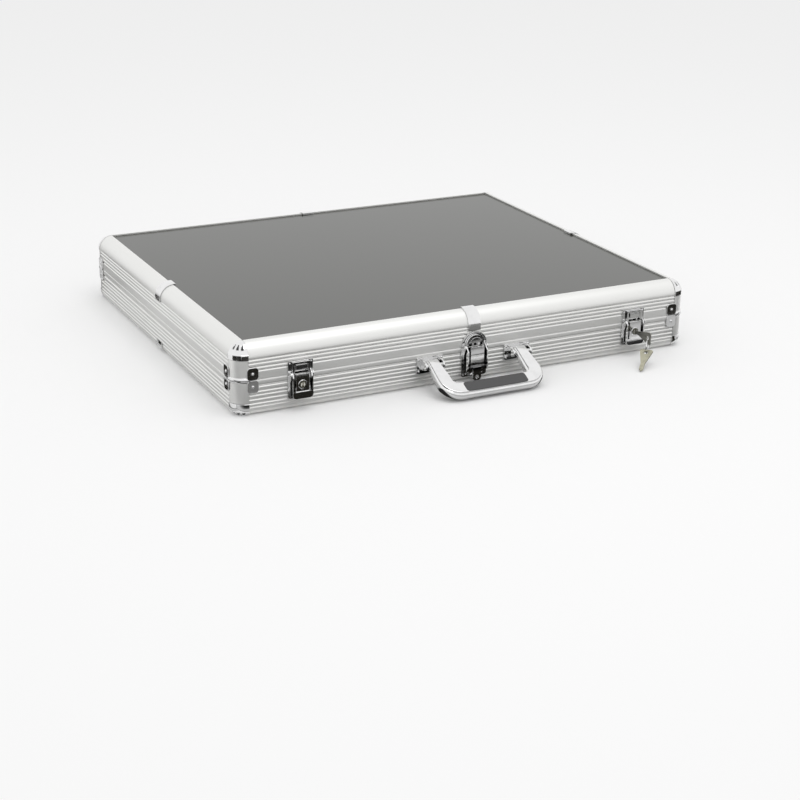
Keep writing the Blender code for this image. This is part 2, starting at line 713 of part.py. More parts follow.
def lever_lip(size):
    """Thumb lip below the lever's face, or the centre lever's padlock tongue."""
    half = size.wall_x + LEVER_WALL
    depth = size.lever_d
    back = 2 * SHEET
    if not size.arched:
        outline = rounded_foot(half, size.lip_foot, size.lip_top, LIP_ROUND)
        return [object_from("lip", prism(outline, front_place(size.x), back, depth), CHROME)]
    web_foot = size.lip_top - 4 * SHEET
    web = rectangle(back, web_foot, depth - 2 * SHEET, size.lip_top)
    centre = (0.0, size.lip_foot + TONGUE_HALF)
    tongue = arc(centre, (TONGUE_HALF, TONGUE_HALF), 180, 360, 10)
    tongue += [(TONGUE_HALF, size.lip_top), (-TONGUE_HALF, size.lip_top)]
    place = front_place(size.x)
    front = depth - SHEET
    plate = object_from("tongue", prism(tongue, place, front - 2 * SHEET, front), CHROME)
    cut(plate, object_from("eye", prism(circle(centre, TONGUE_EYE_R, 14), place, 0.0, 2 * depth), CHROME))
    return [object_from("web", prism(web, profile_place(size.x), -half, half), CHROME), plate]


def latch_lever(name, size, locked):
    """Lever with two side walls, a face between the bail's slots, its pivot pins and a thumb lip."""
    back = SHEET + 2 * GAP
    foot = size.lip_top - SHEET
    shoulder = LEVER_PIVOT_Z - 3 * SHEET
    round_r = 2 * LEVER_PIN_R
    wall = [(back, foot), (size.lever_d, foot), (size.lever_d, shoulder)]
    wall += arc((size.pivot_d, LEVER_PIVOT_Z), (round_r, round_r), 0, 180, 8) + [(back, shoulder)]
    face_top = LEVER_PIVOT_Z + SHEET
    face = rectangle(-size.face_half, foot, size.face_half, face_top)
    front = size.lever_d - FACE_RECESS
    lever = object_from(name, prism(face, front_place(size.x), front - LEVER_WALL, front), CHROME)
    fuse(lever, *lever_lip(size))
    fuse(lever, *mirrored("wall", wall, size, size.wall_x, size.wall_x + LEVER_WALL, CHROME))
    pin = circle((size.pivot_d, LEVER_PIVOT_Z), LEVER_PIN_R, 12)
    fuse(lever, *mirrored("pin", pin, size, size.wall_x + GAP, size.cheek_x + SHEET + GAP, CHROME))
    eye = circle((BAIL_PIVOT_D, BAIL_PIVOT_Z), BAIL_PIN_R + PIN_PLAY, 12)
    reach = size.cheek_x
    cut(lever, object_from("eye", prism(eye, profile_place(size.x), -reach, reach), CHROME))
    if locked:
        bore = circle((0.0, LOCK_Z), LOCK_R + GAP, 20)
        cut(lever, object_from("bore", prism(bore, front_place(size.x), 0.0, 2 * size.lever_d), CHROME))
    return set_origin(lever, (size.x, FRONT - size.pivot_d, LEVER_PIVOT_Z))


def latch_bail(name, size):
    """Loop that hooks over the keeper's lug and turns on the lever."""
    inner = size.arm_x
    outer = size.arm_x + BAIL_ARM
    foot = BAIL_PIVOT_Z - 2 * BAIL_PIN_R
    crown = size.bail_top - outer
    if size.arched:
        inside = arc((0.0, crown), (inner, inner), 180, 0, 10)
        outside = arc((0.0, crown), (outer, outer), 0, 180, 10)
    else:
        bar = size.bail_top - BAIL_ARM
        inside = [(-inner, bar), (inner, bar)]
        outside = [(outer, size.bail_top), (-outer, size.bail_top)]
    outline = [(-outer, foot), (-inner, foot), *inside, (inner, foot), (outer, foot), *outside]
    half = BAIL_THICK / 2
    bail = object_from(name, prism(outline, front_place(size.x), BAIL_PIVOT_D - half, BAIL_PIVOT_D + half), CHROME)
    pin = circle((BAIL_PIVOT_D, BAIL_PIVOT_Z), BAIL_PIN_R, 10)
    fuse(bail, *mirrored("pin", pin, size, outer - GAP, size.wall_x + LEVER_WALL - GAP, CHROME))
    return set_origin(bail, (size.x, FRONT - BAIL_PIVOT_D, BAIL_PIVOT_Z))


def latch_keeper(name, size):
    """Riveted plate on the lid with the lug that the bail pulls on."""
    foot = PARTING + 3 * GAP
    lug_half = size.arm_x - SHEET
    lug_foot = size.lug_top - SLOT_DEPTH
    place = front_place(size.x)
    if size.arched:
        half = size.plate_half
        spring = foot + KEEPER_SPRING
        outline = [(-half, foot), (half, foot)] + arc((0.0, spring), (half, size.keeper_top - spring), 0, 180, 12)
        centre = size.lug_top - lug_half
        start = math.degrees(math.asin((lug_foot - centre) / lug_half))
        lug = arc((0.0, centre), (lug_half, lug_half), start, 180 - start, 10)
    else:
        outline = rectangle(-size.plate_half, foot, size.plate_half, size.keeper_top)
        lug = rectangle(-lug_half, lug_foot, lug_half, size.lug_top)
    keeper = object_from(name, prism(outline, place, GAP, GAP + SHEET), CHROME)
    lug_face = BAIL_PIVOT_D + BAIL_THICK
    return fuse(keeper, object_from("lug", prism(lug, place, SHEET, lug_face), CHROME))


def lock_face(size):
    """How far a lock's face stands off the case's front."""
    return size.lever_d - FACE_RECESS + 3 * GAP


def lock_cylinder(name, size):
    """Round lock plug with a key slot."""
    centre = (0.0, LOCK_Z)
    place = front_place(size.x)
    face = lock_face(size)
    plug = object_from(name, prism(circle(centre, LOCK_R, 20), place, face - SLOT_DEPTH - GAP, face), NICKEL)
    half = KEY_THICK / 2 + GAP
    slot_half = KEY_BLADE_HALF + GAP
    slot = rectangle(-half, LOCK_Z - slot_half, half, LOCK_Z + slot_half)
    cut(plug, object_from("slot", prism(slot, place, face - SLOT_DEPTH + GAP, face + SLOT_DEPTH), NICKEL))
    return set_origin(plug, (size.x, FRONT - face, LOCK_Z))


def build_latches():
    """Two key latches and the arched centre latch."""
    for side, size in (("left", LEFT_LATCH), ("right", RIGHT_LATCH), ("centre", CENTRE_LATCH)):
        latch_base_plate(f"latch_{side}_base_plate", size)
        latch_lever(f"latch_{side}_lever", size, locked=not size.arched)
        latch_bail(f"latch_{side}_bail", size)
        latch_keeper(f"latch_{side}_keeper", size)
        if not size.arched:
            lock_cylinder(f"latch_{side}_lock_cylinder", size)


# Keys


def key_place(tip, along, across):
    """Place for a flat key drawn from its tip: along, across its width and through its thickness."""
    through = along.cross(across)
    return lambda a, b, c: tip + a * along + b * across + c * through


def flat_key(name, place, finish):
    """Key with a pointed blade that widens into a flag-shaped bow with a hole."""
    half = KEY_THICK / 2
    corner = (KEY_LENGTH - KEY_BOW_ROUND, KEY_BOW_HALF - KEY_BOW_ROUND)
    radii = (KEY_BOW_ROUND, KEY_BOW_ROUND)
    outline = [(0.0, -GAP), (KEY_BLADE_HALF, -KEY_BLADE_HALF), (KEY_NECK, -KEY_BLADE_HALF)]
    outline += arc((corner[0], -corner[1]), radii, -KEY_BOW_TURN, 0, 5)
    outline += arc(corner, radii, 0, KEY_BOW_TURN, 5)
    outline += [(KEY_NECK, KEY_BLADE_HALF), (KEY_BLADE_HALF, KEY_BLADE_HALF), (0.0, GAP)]
    key = object_from(name, prism(outline, place, -half, half), finish)
    hole = circle((KEY_HOLE_AT, 0.0), KEY_HOLE_R, 14)
    return cut(key, object_from("hole", prism(hole, place, -KEY_LENGTH, KEY_LENGTH), finish))


def build_keys():
    """Key in the right lock, with a ring and a spare key that leans on the floor."""
    up = Vector((0.0, 0.0, 1.0))
    tip = Vector((RIGHT_LATCH.x, FRONT - lock_face(RIGHT_LATCH) + KEY_IN_LOCK, LOCK_Z))
    outward = Vector((0.0, -1.0, 0.0))
    key = flat_key("key", key_place(tip, outward, up), NICKEL)
    set_origin(key, tip)

    ring_top = tip + KEY_HOLE_AT * outward - RING_SLACK * up
    ring_middle = ring_top - RING_R * up
    bpy.ops.mesh.primitive_torus_add(
        major_radius=RING_R, minor_radius=RING_WIRE, major_segments=28, minor_segments=8,
        location=ring_middle, rotation=(math.pi / 2, 0, RING_TURN),
    )
    ring = bpy.context.object
    ring.name = "key_ring"
    ring.data.name = "key_ring"
    ring.data.transform(ring.matrix_world)
    ring.matrix_world.identity()
    ring.data.materials.append(finish_material(CHROME))
    set_origin(ring, ring_top)

    side = Vector((-math.cos(RING_TURN), -math.sin(RING_TURN), 0.0))
    hang = ring_middle + RING_R * (math.sin(SPARE_ROUND_RING) * side - math.cos(SPARE_ROUND_RING) * up)
    along = math.sin(SPARE_LEAN) * up - math.cos(SPARE_LEAN) * side
    across = Vector((math.sin(RING_TURN), -math.cos(RING_TURN), 0.0))
    spare_tip = hang - (KEY_HOLE_AT + RING_SLACK) * along
    spare = flat_key("spare_key", key_place(spare_tip, along, across), NICKEL)
    set_origin(spare, hang)


def shade():
    """Smooth the round faces and keep the real edges sharp."""
    for obj in bpy.data.objects:
        obj.data.shade_smooth()
        obj.data.set_sharp_from_angle(angle=SMOOTH_ANGLE)


def main():
    """Build the case."""
    clear_scene()
    build_sides()
    build_corners()
    build_panels()
    build_clips()
    build_hinges()
    build_handle()
    build_latches()
    build_keys()
    shade()


main()
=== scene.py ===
"""Looks of the aluminium carrying case: finishes, fine surfaces, rivets, light and camera."""
from __future__ import annotations

import logging
import math
from dataclasses import dataclass
from enum import Enum
from typing import Any, Callable, Iterable, Sequence

import bmesh
import bpy
from mathutils import Matrix, Vector


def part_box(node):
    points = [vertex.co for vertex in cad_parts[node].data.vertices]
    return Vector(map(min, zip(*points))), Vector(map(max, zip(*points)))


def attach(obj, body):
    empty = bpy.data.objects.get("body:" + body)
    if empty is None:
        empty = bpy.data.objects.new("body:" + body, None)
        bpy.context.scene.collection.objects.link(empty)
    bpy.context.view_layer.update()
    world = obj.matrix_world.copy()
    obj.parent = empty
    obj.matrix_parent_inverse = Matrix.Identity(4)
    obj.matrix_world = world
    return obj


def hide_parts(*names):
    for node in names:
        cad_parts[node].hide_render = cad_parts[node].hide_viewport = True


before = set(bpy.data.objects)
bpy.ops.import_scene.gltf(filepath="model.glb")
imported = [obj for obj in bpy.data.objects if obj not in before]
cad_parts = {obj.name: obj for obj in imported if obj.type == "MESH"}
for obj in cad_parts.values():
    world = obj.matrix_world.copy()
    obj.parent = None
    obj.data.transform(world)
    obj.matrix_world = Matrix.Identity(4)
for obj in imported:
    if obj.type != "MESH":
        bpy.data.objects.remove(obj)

LOG = logging.getLogger("case")
MM = 0.001
Point = tuple[float, float]
Spot = tuple[float, float, float]
Colour = tuple[float, float, float]
Station = tuple[float, float, float, float, float]
Place = Callable[[float, float, float], Spot]
FORWARD: Spot = (0.0, -1.0, 0.0)
BACKWARD: Spot = (0.0, 1.0, 0.0)
SMOOTH_ANGLE = math.radians(32)
EDGE_ANGLE = math.radians(28)
FLAT_ANGLE = math.radians(0.4)
ROUND_PROFILE = 0.5
MERGE = 0.002 * MM
# Numbers of a Mix node's colour sockets, whose names its other sockets share.
MIX_FIRST = 6
MIX_SECOND = 7
MIX_RESULT = 2


class Axis(Enum):
    """Direction that an extrusion runs in."""

    X = 0
    Y = 1


class Corner(Enum):
    """Corner of the case, as the signs of its place."""

    front_left = (-1, -1)
    front_right = (1, -1)
    back_left = (-1, 1)
    back_right = (1, 1)


class Side(Enum):
    """Side of the case: the axis that it runs along and the sign of its outward direction."""

    front = (Axis.X, -1)
    back = (Axis.X, 1)
    left = (Axis.Y, -1)
    right = (Axis.Y, 1)


@dataclass(frozen=True)
class CaseSize:
    """Main sizes of the case, in metres."""

    width: float = 610 * MM
    depth: float = 508 * MM
    height: float = 86 * MM
    parting: float = 43 * MM
    gap: float = 0.3 * MM
    wall: float = 4 * MM
    rail: float = 17.5 * MM
    rail_foot: float = 68 * MM

    @property
    def front(self) -> float:
        """Return where the front lies along Y."""
        return -self.depth / 2


CASE = CaseSize()


class Socket:
    """Output of a node that takes part in arithmetic."""

    def __init__(self, nodes: "Nodes", output: bpy.types.NodeSocket) -> None:
        """Keep the tree and the output."""
        self.nodes = nodes
        self.output = output

    def _math(self, operation: str, first: Any, second: Any) -> "Socket":
        """Add a Math node.

        Args:
            operation: name of the operation.
            first: a socket or a number.
            second: a socket or a number.

        Returns:
            The node's value.
        """
        return self.nodes.add("ShaderNodeMath", {"operation": operation}, {0: first, 1: second}).out("Value")

    def __add__(self, other: Any) -> "Socket":
        """Sum."""
        return self._math("ADD", self, other)

    def __radd__(self, other: Any) -> "Socket":
        """Reflected sum."""
        return self._math("ADD", other, self)

    def __sub__(self, other: Any) -> "Socket":
        """Difference."""
        return self._math("SUBTRACT", self, other)

    def __rsub__(self, other: Any) -> "Socket":
        """Reflected difference."""
        return self._math("SUBTRACT", other, self)

    def __mul__(self, other: Any) -> "Socket":
        """Product."""
        return self._math("MULTIPLY", self, other)

    def __rmul__(self, other: Any) -> "Socket":
        """Reflected product."""
        return self._math("MULTIPLY", other, self)


class Added:
    """A node that has just been added."""

    def __init__(self, nodes: "Nodes", node: bpy.types.Node) -> None:
        """Keep the tree and the node."""
        self.nodes = nodes
        self.node = node

    def out(self, name: str | int = 0) -> Socket:
        """Return the named output."""
        return Socket(self.nodes, self.node.outputs[name])


@dataclass(frozen=True)
class Pattern:
    """Noise: its cells in a metre, its scale along each axis and its octaves."""

    scale: float
    stretch: Spot = (1.0, 1.0, 1.0)
    detail: float = 3.0


class Nodes:
    """A node tree with one way of adding nodes to it."""

    def __init__(self, tree: bpy.types.NodeTree) -> None:
        """Keep the tree."""
        self.tree = tree

    def add(
        self, kind: str, settings: dict[str, Any] | None = None, inputs: dict[Any, Any] | None = None,
    ) -> Added:
        """Add a node.

        Args:
            kind: type of the node.
            settings: its properties, which are set first. "stops" holds a ramp's stops.
            inputs: values or sockets for its inputs, by name or number.

        Returns:
            The node.
        """
        node = self.tree.nodes.new(kind)
        for key, value in (settings or {}).items():
            if key == "stops":
                self._stops(node, value)
            else:
                setattr(node, key, value)
        for key, value in (inputs or {}).items():
            if isinstance(value, Socket):
                self.tree.links.new(value.output, node.inputs[key])
            else:
                node.inputs[key].default_value = value
        return Added(self, node)

    @staticmethod
    def _stops(node: bpy.types.Node, stops: Sequence[tuple[float, float]]) -> None:
        """Set a colour ramp's stops to greys.

        Args:
            node: the ramp.
            stops: (place, grey) of each stop.
        """
        elements = node.color_ramp.elements
        while len(elements) < len(stops):
            elements.new(1.0)
        for element, (place, grey) in zip(elements, stops):
            element.position = place
            element.color = (grey, grey, grey, 1.0)

    def noise(self, pattern: Pattern) -> Socket:
        """Noise on Object coordinates.

        Args:
            pattern: how fine and how stretched it is.

        Returns:
            The noise's value.
        """
        place = self.add("ShaderNodeTexCoord").out("Object")
        mapped = self.add("ShaderNodeMapping", None, {"Vector": place, "Scale": pattern.stretch}).out()
        inputs = {"Vector": mapped, "Scale": pattern.scale, "Detail": pattern.detail}
        return self.add("ShaderNodeTexNoise", None, inputs).out(0)

    def ramp(self, value: Socket, low: float, high: float) -> Socket:
        """Stretch a value from between low and high to between 0 and 1."""
        inputs = {"Value": value, "From Min": low, "From Max": high}
        return self.add("ShaderNodeMapRange", None, inputs).out("Result")

    def tint(self, factor: Socket, first: Sequence[float], second: Sequence[float]) -> Socket:
        """Mix two colours.

        Args:
            factor: share of the second colour.
            first: linear colour.
            second: linear colour.

        Returns:
            The mixed colour.
        """
        inputs = {"Factor": factor, MIX_FIRST: (*first, 1.0), MIX_SECOND: (*second, 1.0)}
        return self.add("ShaderNodeMix", {"data_type": "RGBA"}, inputs).out(MIX_RESULT)

    def bump(self, height: Socket, strength: float, distance: float) -> Socket:
        """Turn a height into a normal."""
        inputs = {"Height": height, "Strength": strength, "Distance": distance}
        return self.add("ShaderNodeBump", None, inputs).out("Normal")


@dataclass(frozen=True)
class Finish:
    """Base of the finishes: a named Principled material."""

    name: str
    colour: Colour
    roughness: float
    metallic: float = 0.0
    specular: float = 0.5

    def dress(self, nodes: Nodes) -> dict[str, Socket]:
        """Return the sockets that vary over the surface, by the shader's input."""
        return {}

    def material(self) -> bpy.types.Material:
        """Make the material, once.

        Returns:
            The material.
        """
        made = bpy.data.materials.get(self.name)
        if made is None:
            made = bpy.data.materials.new(self.name)
            made.use_nodes = True
            shader = made.node_tree.nodes["Principled BSDF"]
            shader.inputs["Base Color"].default_value = (*self.colour, 1.0)
            shader.inputs["Roughness"].default_value = self.roughness
            shader.inputs["Metallic"].default_value = self.metallic
            shader.inputs["Specular IOR Level"].default_value = self.specular
            nodes = Nodes(made.node_tree)
            for key, socket in self.dress(nodes).items():
                made.node_tree.links.new(socket.output, shader.inputs[key])
        return made


def shade(colour: Colour, factor: float) -> Colour:
    """Return a colour made lighter or darker."""
    return tuple(min(1.0, channel * factor) for channel in colour)


@dataclass(frozen=True)
class SatinAluminium(Finish):
    """Anodised extrusion with draw lines along its length."""

    along: Axis = Axis.X
    line_scale: float = 1400.0
    line_squeeze: float = 0.02
    line_detail: float = 2.0
    line_dip: float = 0.05
    line_gain: float = 0.08
    line_relief: Point = (0.12, 0.2 * MM)
    tones: Pattern = Pattern(9.0)
    tone_span: Point = (0.97, 1.03)
    scuffs: Pattern = Pattern(60.0, detail=6.0)
    scuff_span: Point = (0.62, 0.74)
    scuff_gain: float = 0.05

    def dress(self, nodes: Nodes) -> dict[str, Socket]:
        """Fine draw lines in the roughness and relief, and slow changes of tone.

        Args:
            nodes: the material's tree.

        Returns:
            The sockets, by the shader's input.
        """
        stretch = (self.line_squeeze, 1.0, 1.0) if self.along is Axis.X else (1.0, self.line_squeeze, 1.0)
        lines = nodes.noise(Pattern(self.line_scale, stretch, self.line_detail))
        tone = nodes.noise(self.tones)
        scuff = nodes.ramp(nodes.noise(self.scuffs), *self.scuff_span)
        dark, light = (shade(self.colour, factor) for factor in self.tone_span)
        rough = self.roughness - self.line_dip + lines * self.line_gain + scuff * self.scuff_gain
        relief = nodes.bump(lines, *self.line_relief)
        return {"Base Color": nodes.tint(tone, dark, light), "Roughness": rough, "Normal": relief}


@dataclass(frozen=True)
class Chrome(Finish):
    """Plated metal with faint smudges and orange peel."""

    smudges: Pattern = Pattern(90.0, detail=5.0)
    smudge_span: Point = (0.45, 0.75)
    smudge_gain: float = 0.05
    smudge_shade: float = 0.93
    peel: Pattern = Pattern(420.0, detail=2.0)
    peel_relief: Point = (0.05, 0.3 * MM)

    def dress(self, nodes: Nodes) -> dict[str, Socket]:
        """Smudges in the roughness and a slight waviness.

        Args:
            nodes: the material's tree.

        Returns:
            The sockets, by the shader's input.
        """
        smudge = nodes.ramp(nodes.noise(self.smudges), *self.smudge_span)
        rough = self.roughness + smudge * self.smudge_gain
        colour = nodes.tint(smudge, self.colour, shade(self.colour, self.smudge_shade))
        relief = nodes.bump(nodes.noise(self.peel), *self.peel_relief)
        return {"Base Color": colour, "Roughness": rough, "Normal": relief}


@dataclass(frozen=True)
class SmokedPane(Finish):
    """Dark glossy sheet with a breath of dust."""

    wipes: Pattern = Pattern(5.0, (0.35, 1.6, 1.0), 4.0)
    wipe_gain: float = 0.05
    dust: Pattern = Pattern(1500.0, detail=1.0)
    dust_span: Point = (0.72, 0.8)
    dust_share: float = 0.35
    dust_colour: Colour = (0.20, 0.20, 0.19)

    def dress(self, nodes: Nodes) -> dict[str, Socket]:
        """Dust in the colour and cloudy wiping marks in the gloss.

        Args:
            nodes: the material's tree.

        Returns:
            The sockets, by the shader's input.
        """
        wipe = nodes.noise(self.wipes)
        dust = nodes.ramp(nodes.noise(self.dust), *self.dust_span)
        colour = nodes.tint(dust * self.dust_share, self.colour, self.dust_colour)
        return {"Base Color": colour, "Roughness": self.roughness + wipe * self.wipe_gain}


@dataclass(frozen=True)
class Grained(Finish):
    """Moulded or foamed surface with an even grain."""

    grain: float = 900.0
    relief: float = 0.3
    depth: float = 0.3 * MM
    tone_span: Point = (0.75, 1.25)
    gain: float = 0.12

    def dress(self, nodes: Nodes) -> dict[str, Socket]:
        """Grain in the relief, the colour and the roughness.

        Args:
            nodes: the material's tree.

        Returns:
            The sockets, by the shader's input.
        """
        cells = nodes.noise(Pattern(self.grain))
        dark, light = (shade(self.colour, factor) for factor in self.tone_span)
        rough = self.roughness - self.gain / 2 + cells * self.gain
        relief = nodes.bump(cells, self.relief, self.depth)
        return {"Base Color": nodes.tint(cells, dark, light), "Roughness": rough, "Normal": relief}


@dataclass(frozen=True)
class StampedNickel(Finish):
    """Pale nickel with fine grinding lines and worn spots."""

    lines: Pattern = Pattern(2600.0, (1.0, 0.06, 1.0), 2.0)
    line_gain: float = 0.1
    line_relief: Point = (0.15, 0.2 * MM)
    tarnish: Pattern = Pattern(240.0, detail=5.0)
    tarnish_span: Point = (0.5, 0.8)
    tarnish_shade: float = 0.72
    tarnish_gain: float = 0.1

    def dress(self, nodes: Nodes) -> dict[str, Socket]:
        """Grinding lines and tarnish.

        Args:
            nodes: the material's tree.

        Returns:
            The sockets, by the shader's input.
        """
        lines = nodes.noise(self.lines)
        tarnish = nodes.ramp(nodes.noise(self.tarnish), *self.tarnish_span)
        colour = nodes.tint(tarnish, self.colour, shade(self.colour, self.tarnish_shade))
        rough = self.roughness + lines * self.line_gain + tarnish * self.tarnish_gain
        relief = nodes.bump(lines, *self.line_relief)
        return {"Base Color": colour, "Roughness": rough, "Normal": relief}


@dataclass(frozen=True)
class LockFace(StampedNickel):
    """Dull lock plug with a bright ring painted round its keyhole as a painted highlight."""

    middle: Point = (0.0, 0.0)
    ring: Point = (2.5 * MM, 2.9 * MM)
    # Near-white colour of the painted highlight ring.
    ring_colour: Colour = (0.92, 0.91, 0.86)
    ring_haze: float = 0.35

    def dress(self, nodes: Nodes) -> dict[str, Socket]:
        """Paint the highlight ring over the nickel's own marks.

        Args:
            nodes: the material's tree.

        Returns:
            The sockets, by the shader's input.
        """
        across, up = self.middle
        place = nodes.add("ShaderNodeTexCoord").out("Object")
        centred = {"Vector": place, "Location": (-across, 0.0, -up), "Scale": (1.0, 0.0, 1.0)}
        spoke = nodes.add("ShaderNodeMapping", None, centred).out()
        length = nodes.add("ShaderNodeVectorMath", {"operation": "LENGTH"}, {0: spoke}).out("Value")
        share = 1.0 - nodes.ramp(length, *self.ring)
        dressed = super().dress(nodes)
        # Painted highlight: inside the ring the near-white colour replaces the nickel's.
        dressed["Base Color"] = nodes.tint(share, self.colour, self.ring_colour)
        dressed["Roughness"] = dressed["Roughness"] + share * self.ring_haze
        return dressed


@dataclass(frozen=True)
class GradedCard(Finish):
    """Card that lies beside the case, with bands of grey by the distance from the case."""

    side: Side = Side.front
    reach: float = 1.4
    bands: tuple[Point, ...] = ()

    def dress(self, nodes: Nodes) -> dict[str, Socket]:
        """Bands of grey across the card.

        Args:
            nodes: the material's tree.

        Returns:
            The sockets, by the shader's input.
        """
        axis, sign = self.side.value
        half = CASE.depth / 2 if axis is Axis.X else CASE.width / 2
        place = nodes.add("ShaderNodeTexCoord").out("Object")
        apart = nodes.add("ShaderNodeSeparateXYZ", None, {0: place}).out("Y" if axis is Axis.X else "X")
        share = nodes.ramp(sign * apart - half, 0.0, self.reach)
        stops = [(distance / self.reach, grey) for distance, grey in self.bands]
        return {"Base Color": nodes.add("ShaderNodeValToRGB", {"stops": stops}, {"Fac": share}).out("Color")}


CARD_ROUGHNESS = 0.9
MID_GREY = (0.5, 0.5, 0.5)
ALUMINIUM_X = SatinAluminium("satin_aluminium_x", (0.83, 0.83, 0.815), 0.46, 1.0, along=Axis.X)
ALUMINIUM_Y = SatinAluminium("satin_aluminium_y", (0.83, 0.83, 0.815), 0.46, 1.0, along=Axis.Y)
CHROME = Chrome("polished_chrome", (0.83, 0.83, 0.83), 0.05, 1.0)
PANE = SmokedPane("smoked_pane", (0.035, 0.036, 0.029), 0.05)
BOARD = Grained("black_board", (0.025, 0.025, 0.026), 0.55)
FOAM = Grained("black_foam", (0.020, 0.020, 0.021), 0.95, grain=600.0, relief=0.7, depth=0.8 * MM)
INLAY = Grained("dark_inlay", (0.055, 0.055, 0.056), 0.38, grain=2200.0, relief=0.2)
NICKEL = StampedNickel("pale_nickel", (0.46, 0.446, 0.348), 0.36, 1.0)
# Painted shade: a darker copy of the pale nickel for the key in the lock, standing in for the dark
# reflection it shows.
SHADED_KEY_NICKEL = StampedNickel("key_steel", (0.27, 0.268, 0.245), 0.34, 1.0)
FLOOR = Finish("pale_floor", (0.96, 0.96, 0.96), 0.9, specular=0.0)
DARK_CARD = Finish("dark_card", (0.02, 0.019, 0.016), CARD_ROUGHNESS, specular=0.0)
GREY_CARD = Finish("grey_card", (0.17, 0.17, 0.165), CARD_ROUGHNESS)
LIGHT_CARD = Finish("light_card", (0.34, 0.34, 0.33), CARD_ROUGHNESS)
PALE_CARD = Finish("pale_card", (0.85, 0.85, 0.85), CARD_ROUGHNESS)


def new_object(name: str, shape: bmesh.types.BMesh, finish: Finish) -> bpy.types.Object:
    """Turn a bmesh into a smooth object at the origin.

    Args:
        name: name of the piece.
        shape: its mesh, which is freed.
        finish: its finish.

    Returns:
        The object.
    """
    bmesh.ops.recalc_face_normals(shape, faces=shape.faces)
    mesh = bpy.data.meshes.new(name)
    shape.to_mesh(mesh)
    shape.free()
    mesh.materials.append(finish.material())
    mesh.shade_smooth()
    mesh.set_sharp_from_angle(angle=SMOOTH_ANGLE)
    made = bpy.data.objects.new(name, mesh)
    bpy.context.scene.collection.objects.link(made)
    return baked(made, "WEIGHTED_NORMAL", keep_sharp=True)


def baked(made: bpy.types.Object, kind: str, **settings: Any) -> bpy.types.Object:
    """Apply a modifier to an object's mesh.

    Args:
        made: the object, which is changed.
        kind: type of the modifier.
        settings: its properties.

    Returns:
        The same object.
    """
    modifier = made.modifiers.new(kind, kind)
    for key, value in settings.items():
        setattr(modifier, key, value)
    return applied(made)


def applied(made: bpy.types.Object) -> bpy.types.Object:
    """Make an object's evaluated shape its mesh and remove its modifiers.

    Args:
        made: the object, which is changed.

    Returns:
        The same object.
    """
    bpy.context.view_layer.update()
    graph = bpy.context.evaluated_depsgraph_get()
    before = made.data
    mesh = bpy.data.meshes.new_from_object(made.evaluated_get(graph))
    made.modifiers.clear()
    made.data = mesh
    bpy.data.meshes.remove(before)
    mesh.name = made.name
    return made


@dataclass(frozen=True)
class Part:
    """What a piece rides on, the name of its finish's slot and which CAD nodes it stands for."""

    body: str
    slot: str
    nodes: tuple[str, ...] = ()

    def take(self, piece: bpy.types.Object) -> bpy.types.Object:
        """Tie a piece to its body and hide the CAD nodes that it stands for.

        Args:
            piece: the finished piece.

        Returns:
            The piece.
        """
        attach(piece, self.body)
        if self.nodes:
            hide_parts(*self.nodes)
        LOG.info("%s on %s, %d faces", piece.name, self.body, len(piece.data.polygons))
        return piece


def arc(centre: Point, radii: Point, start: float, end: float, steps: int) -> list[Point]:
    """Points along an ellipse's arc.

    Args:
        centre: middle of the ellipse.
        radii: its two radii.
        start: first angle in degrees.
        end: last angle in degrees.
        steps: number of spans.

    Returns:
        The points.
    """
    points = []
    for step in range(steps + 1):
        angle = math.radians(start + (end - start) * step / steps)
        points.append((centre[0] + radii[0] * math.cos(angle), centre[1] + radii[1] * math.sin(angle)))
    return points


def rounded_rectangle(centre: Point, half: Point, radius: float, steps: int = 6) -> list[Point]:
    """Outline of a rectangle with round corners.

    Args:
        centre: its middle.
        half: its half sizes.
        radius: corner radius.
        steps: spans in each corner.

    Returns:
        The points, anticlockwise.
    """
    points = []
    for turn, (right, top) in enumerate(((1, 1), (-1, 1), (-1, -1), (1, -1))):
        middle = (centre[0] + right * (half[0] - radius), centre[1] + top * (half[1] - radius))
        points += arc(middle, (radius, radius), 90 * turn, 90 * turn + 90, steps)
    return points


def rectangle(left: float, bottom: float, right: float, top: float) -> list[Point]:
    """Corners of a rectangle, anticlockwise."""
    return [(left, bottom), (right, bottom), (right, top), (left, top)]


def side_place(side: Side) -> Place:
    """Find where things lie on a side of the case.

    Args:
        side: which side.

    Returns:
        A place that takes inwards, up and along the side.
    """
    axis, sign = side.value
    if axis is Axis.X:
        return lambda inward, up, along: (along, sign * (CASE.depth / 2 - inward), up)
    return lambda inward, up, along: (sign * (CASE.width / 2 - inward), along, up)


def corner_axis(corner: Corner) -> Vector:
    """Return the foot of the upright axis that a corner turns on."""
    right, back = corner.value
    return Vector((right * (CASE.width / 2 - CASE.rail), back * (CASE.depth / 2 - CASE.rail), 0.0))


def prism(outline: Sequence[Point], place: Place, start: float, end: float) -> bmesh.types.BMesh:
    """Extrude an outline along the third axis of a place.

    Args:
        outline: points of the section.
        place: turns (first, second, third) into a point of the case.
        start: where the extrusion begins.
        end: where it ends.

    Returns:
        A closed mesh.
    """
    shape = bmesh.new()
    face = shape.faces.new([shape.verts.new(place(a, b, start)) for a, b in outline])
    swept = bmesh.ops.extrude_face_region(shape, geom=[face])
    moved = [item for item in swept["geom"] if isinstance(item, bmesh.types.BMVert)]
    bmesh.ops.translate(shape, verts=moved, vec=Vector(place(0, 0, end)) - Vector(place(0, 0, start)))
    return shape


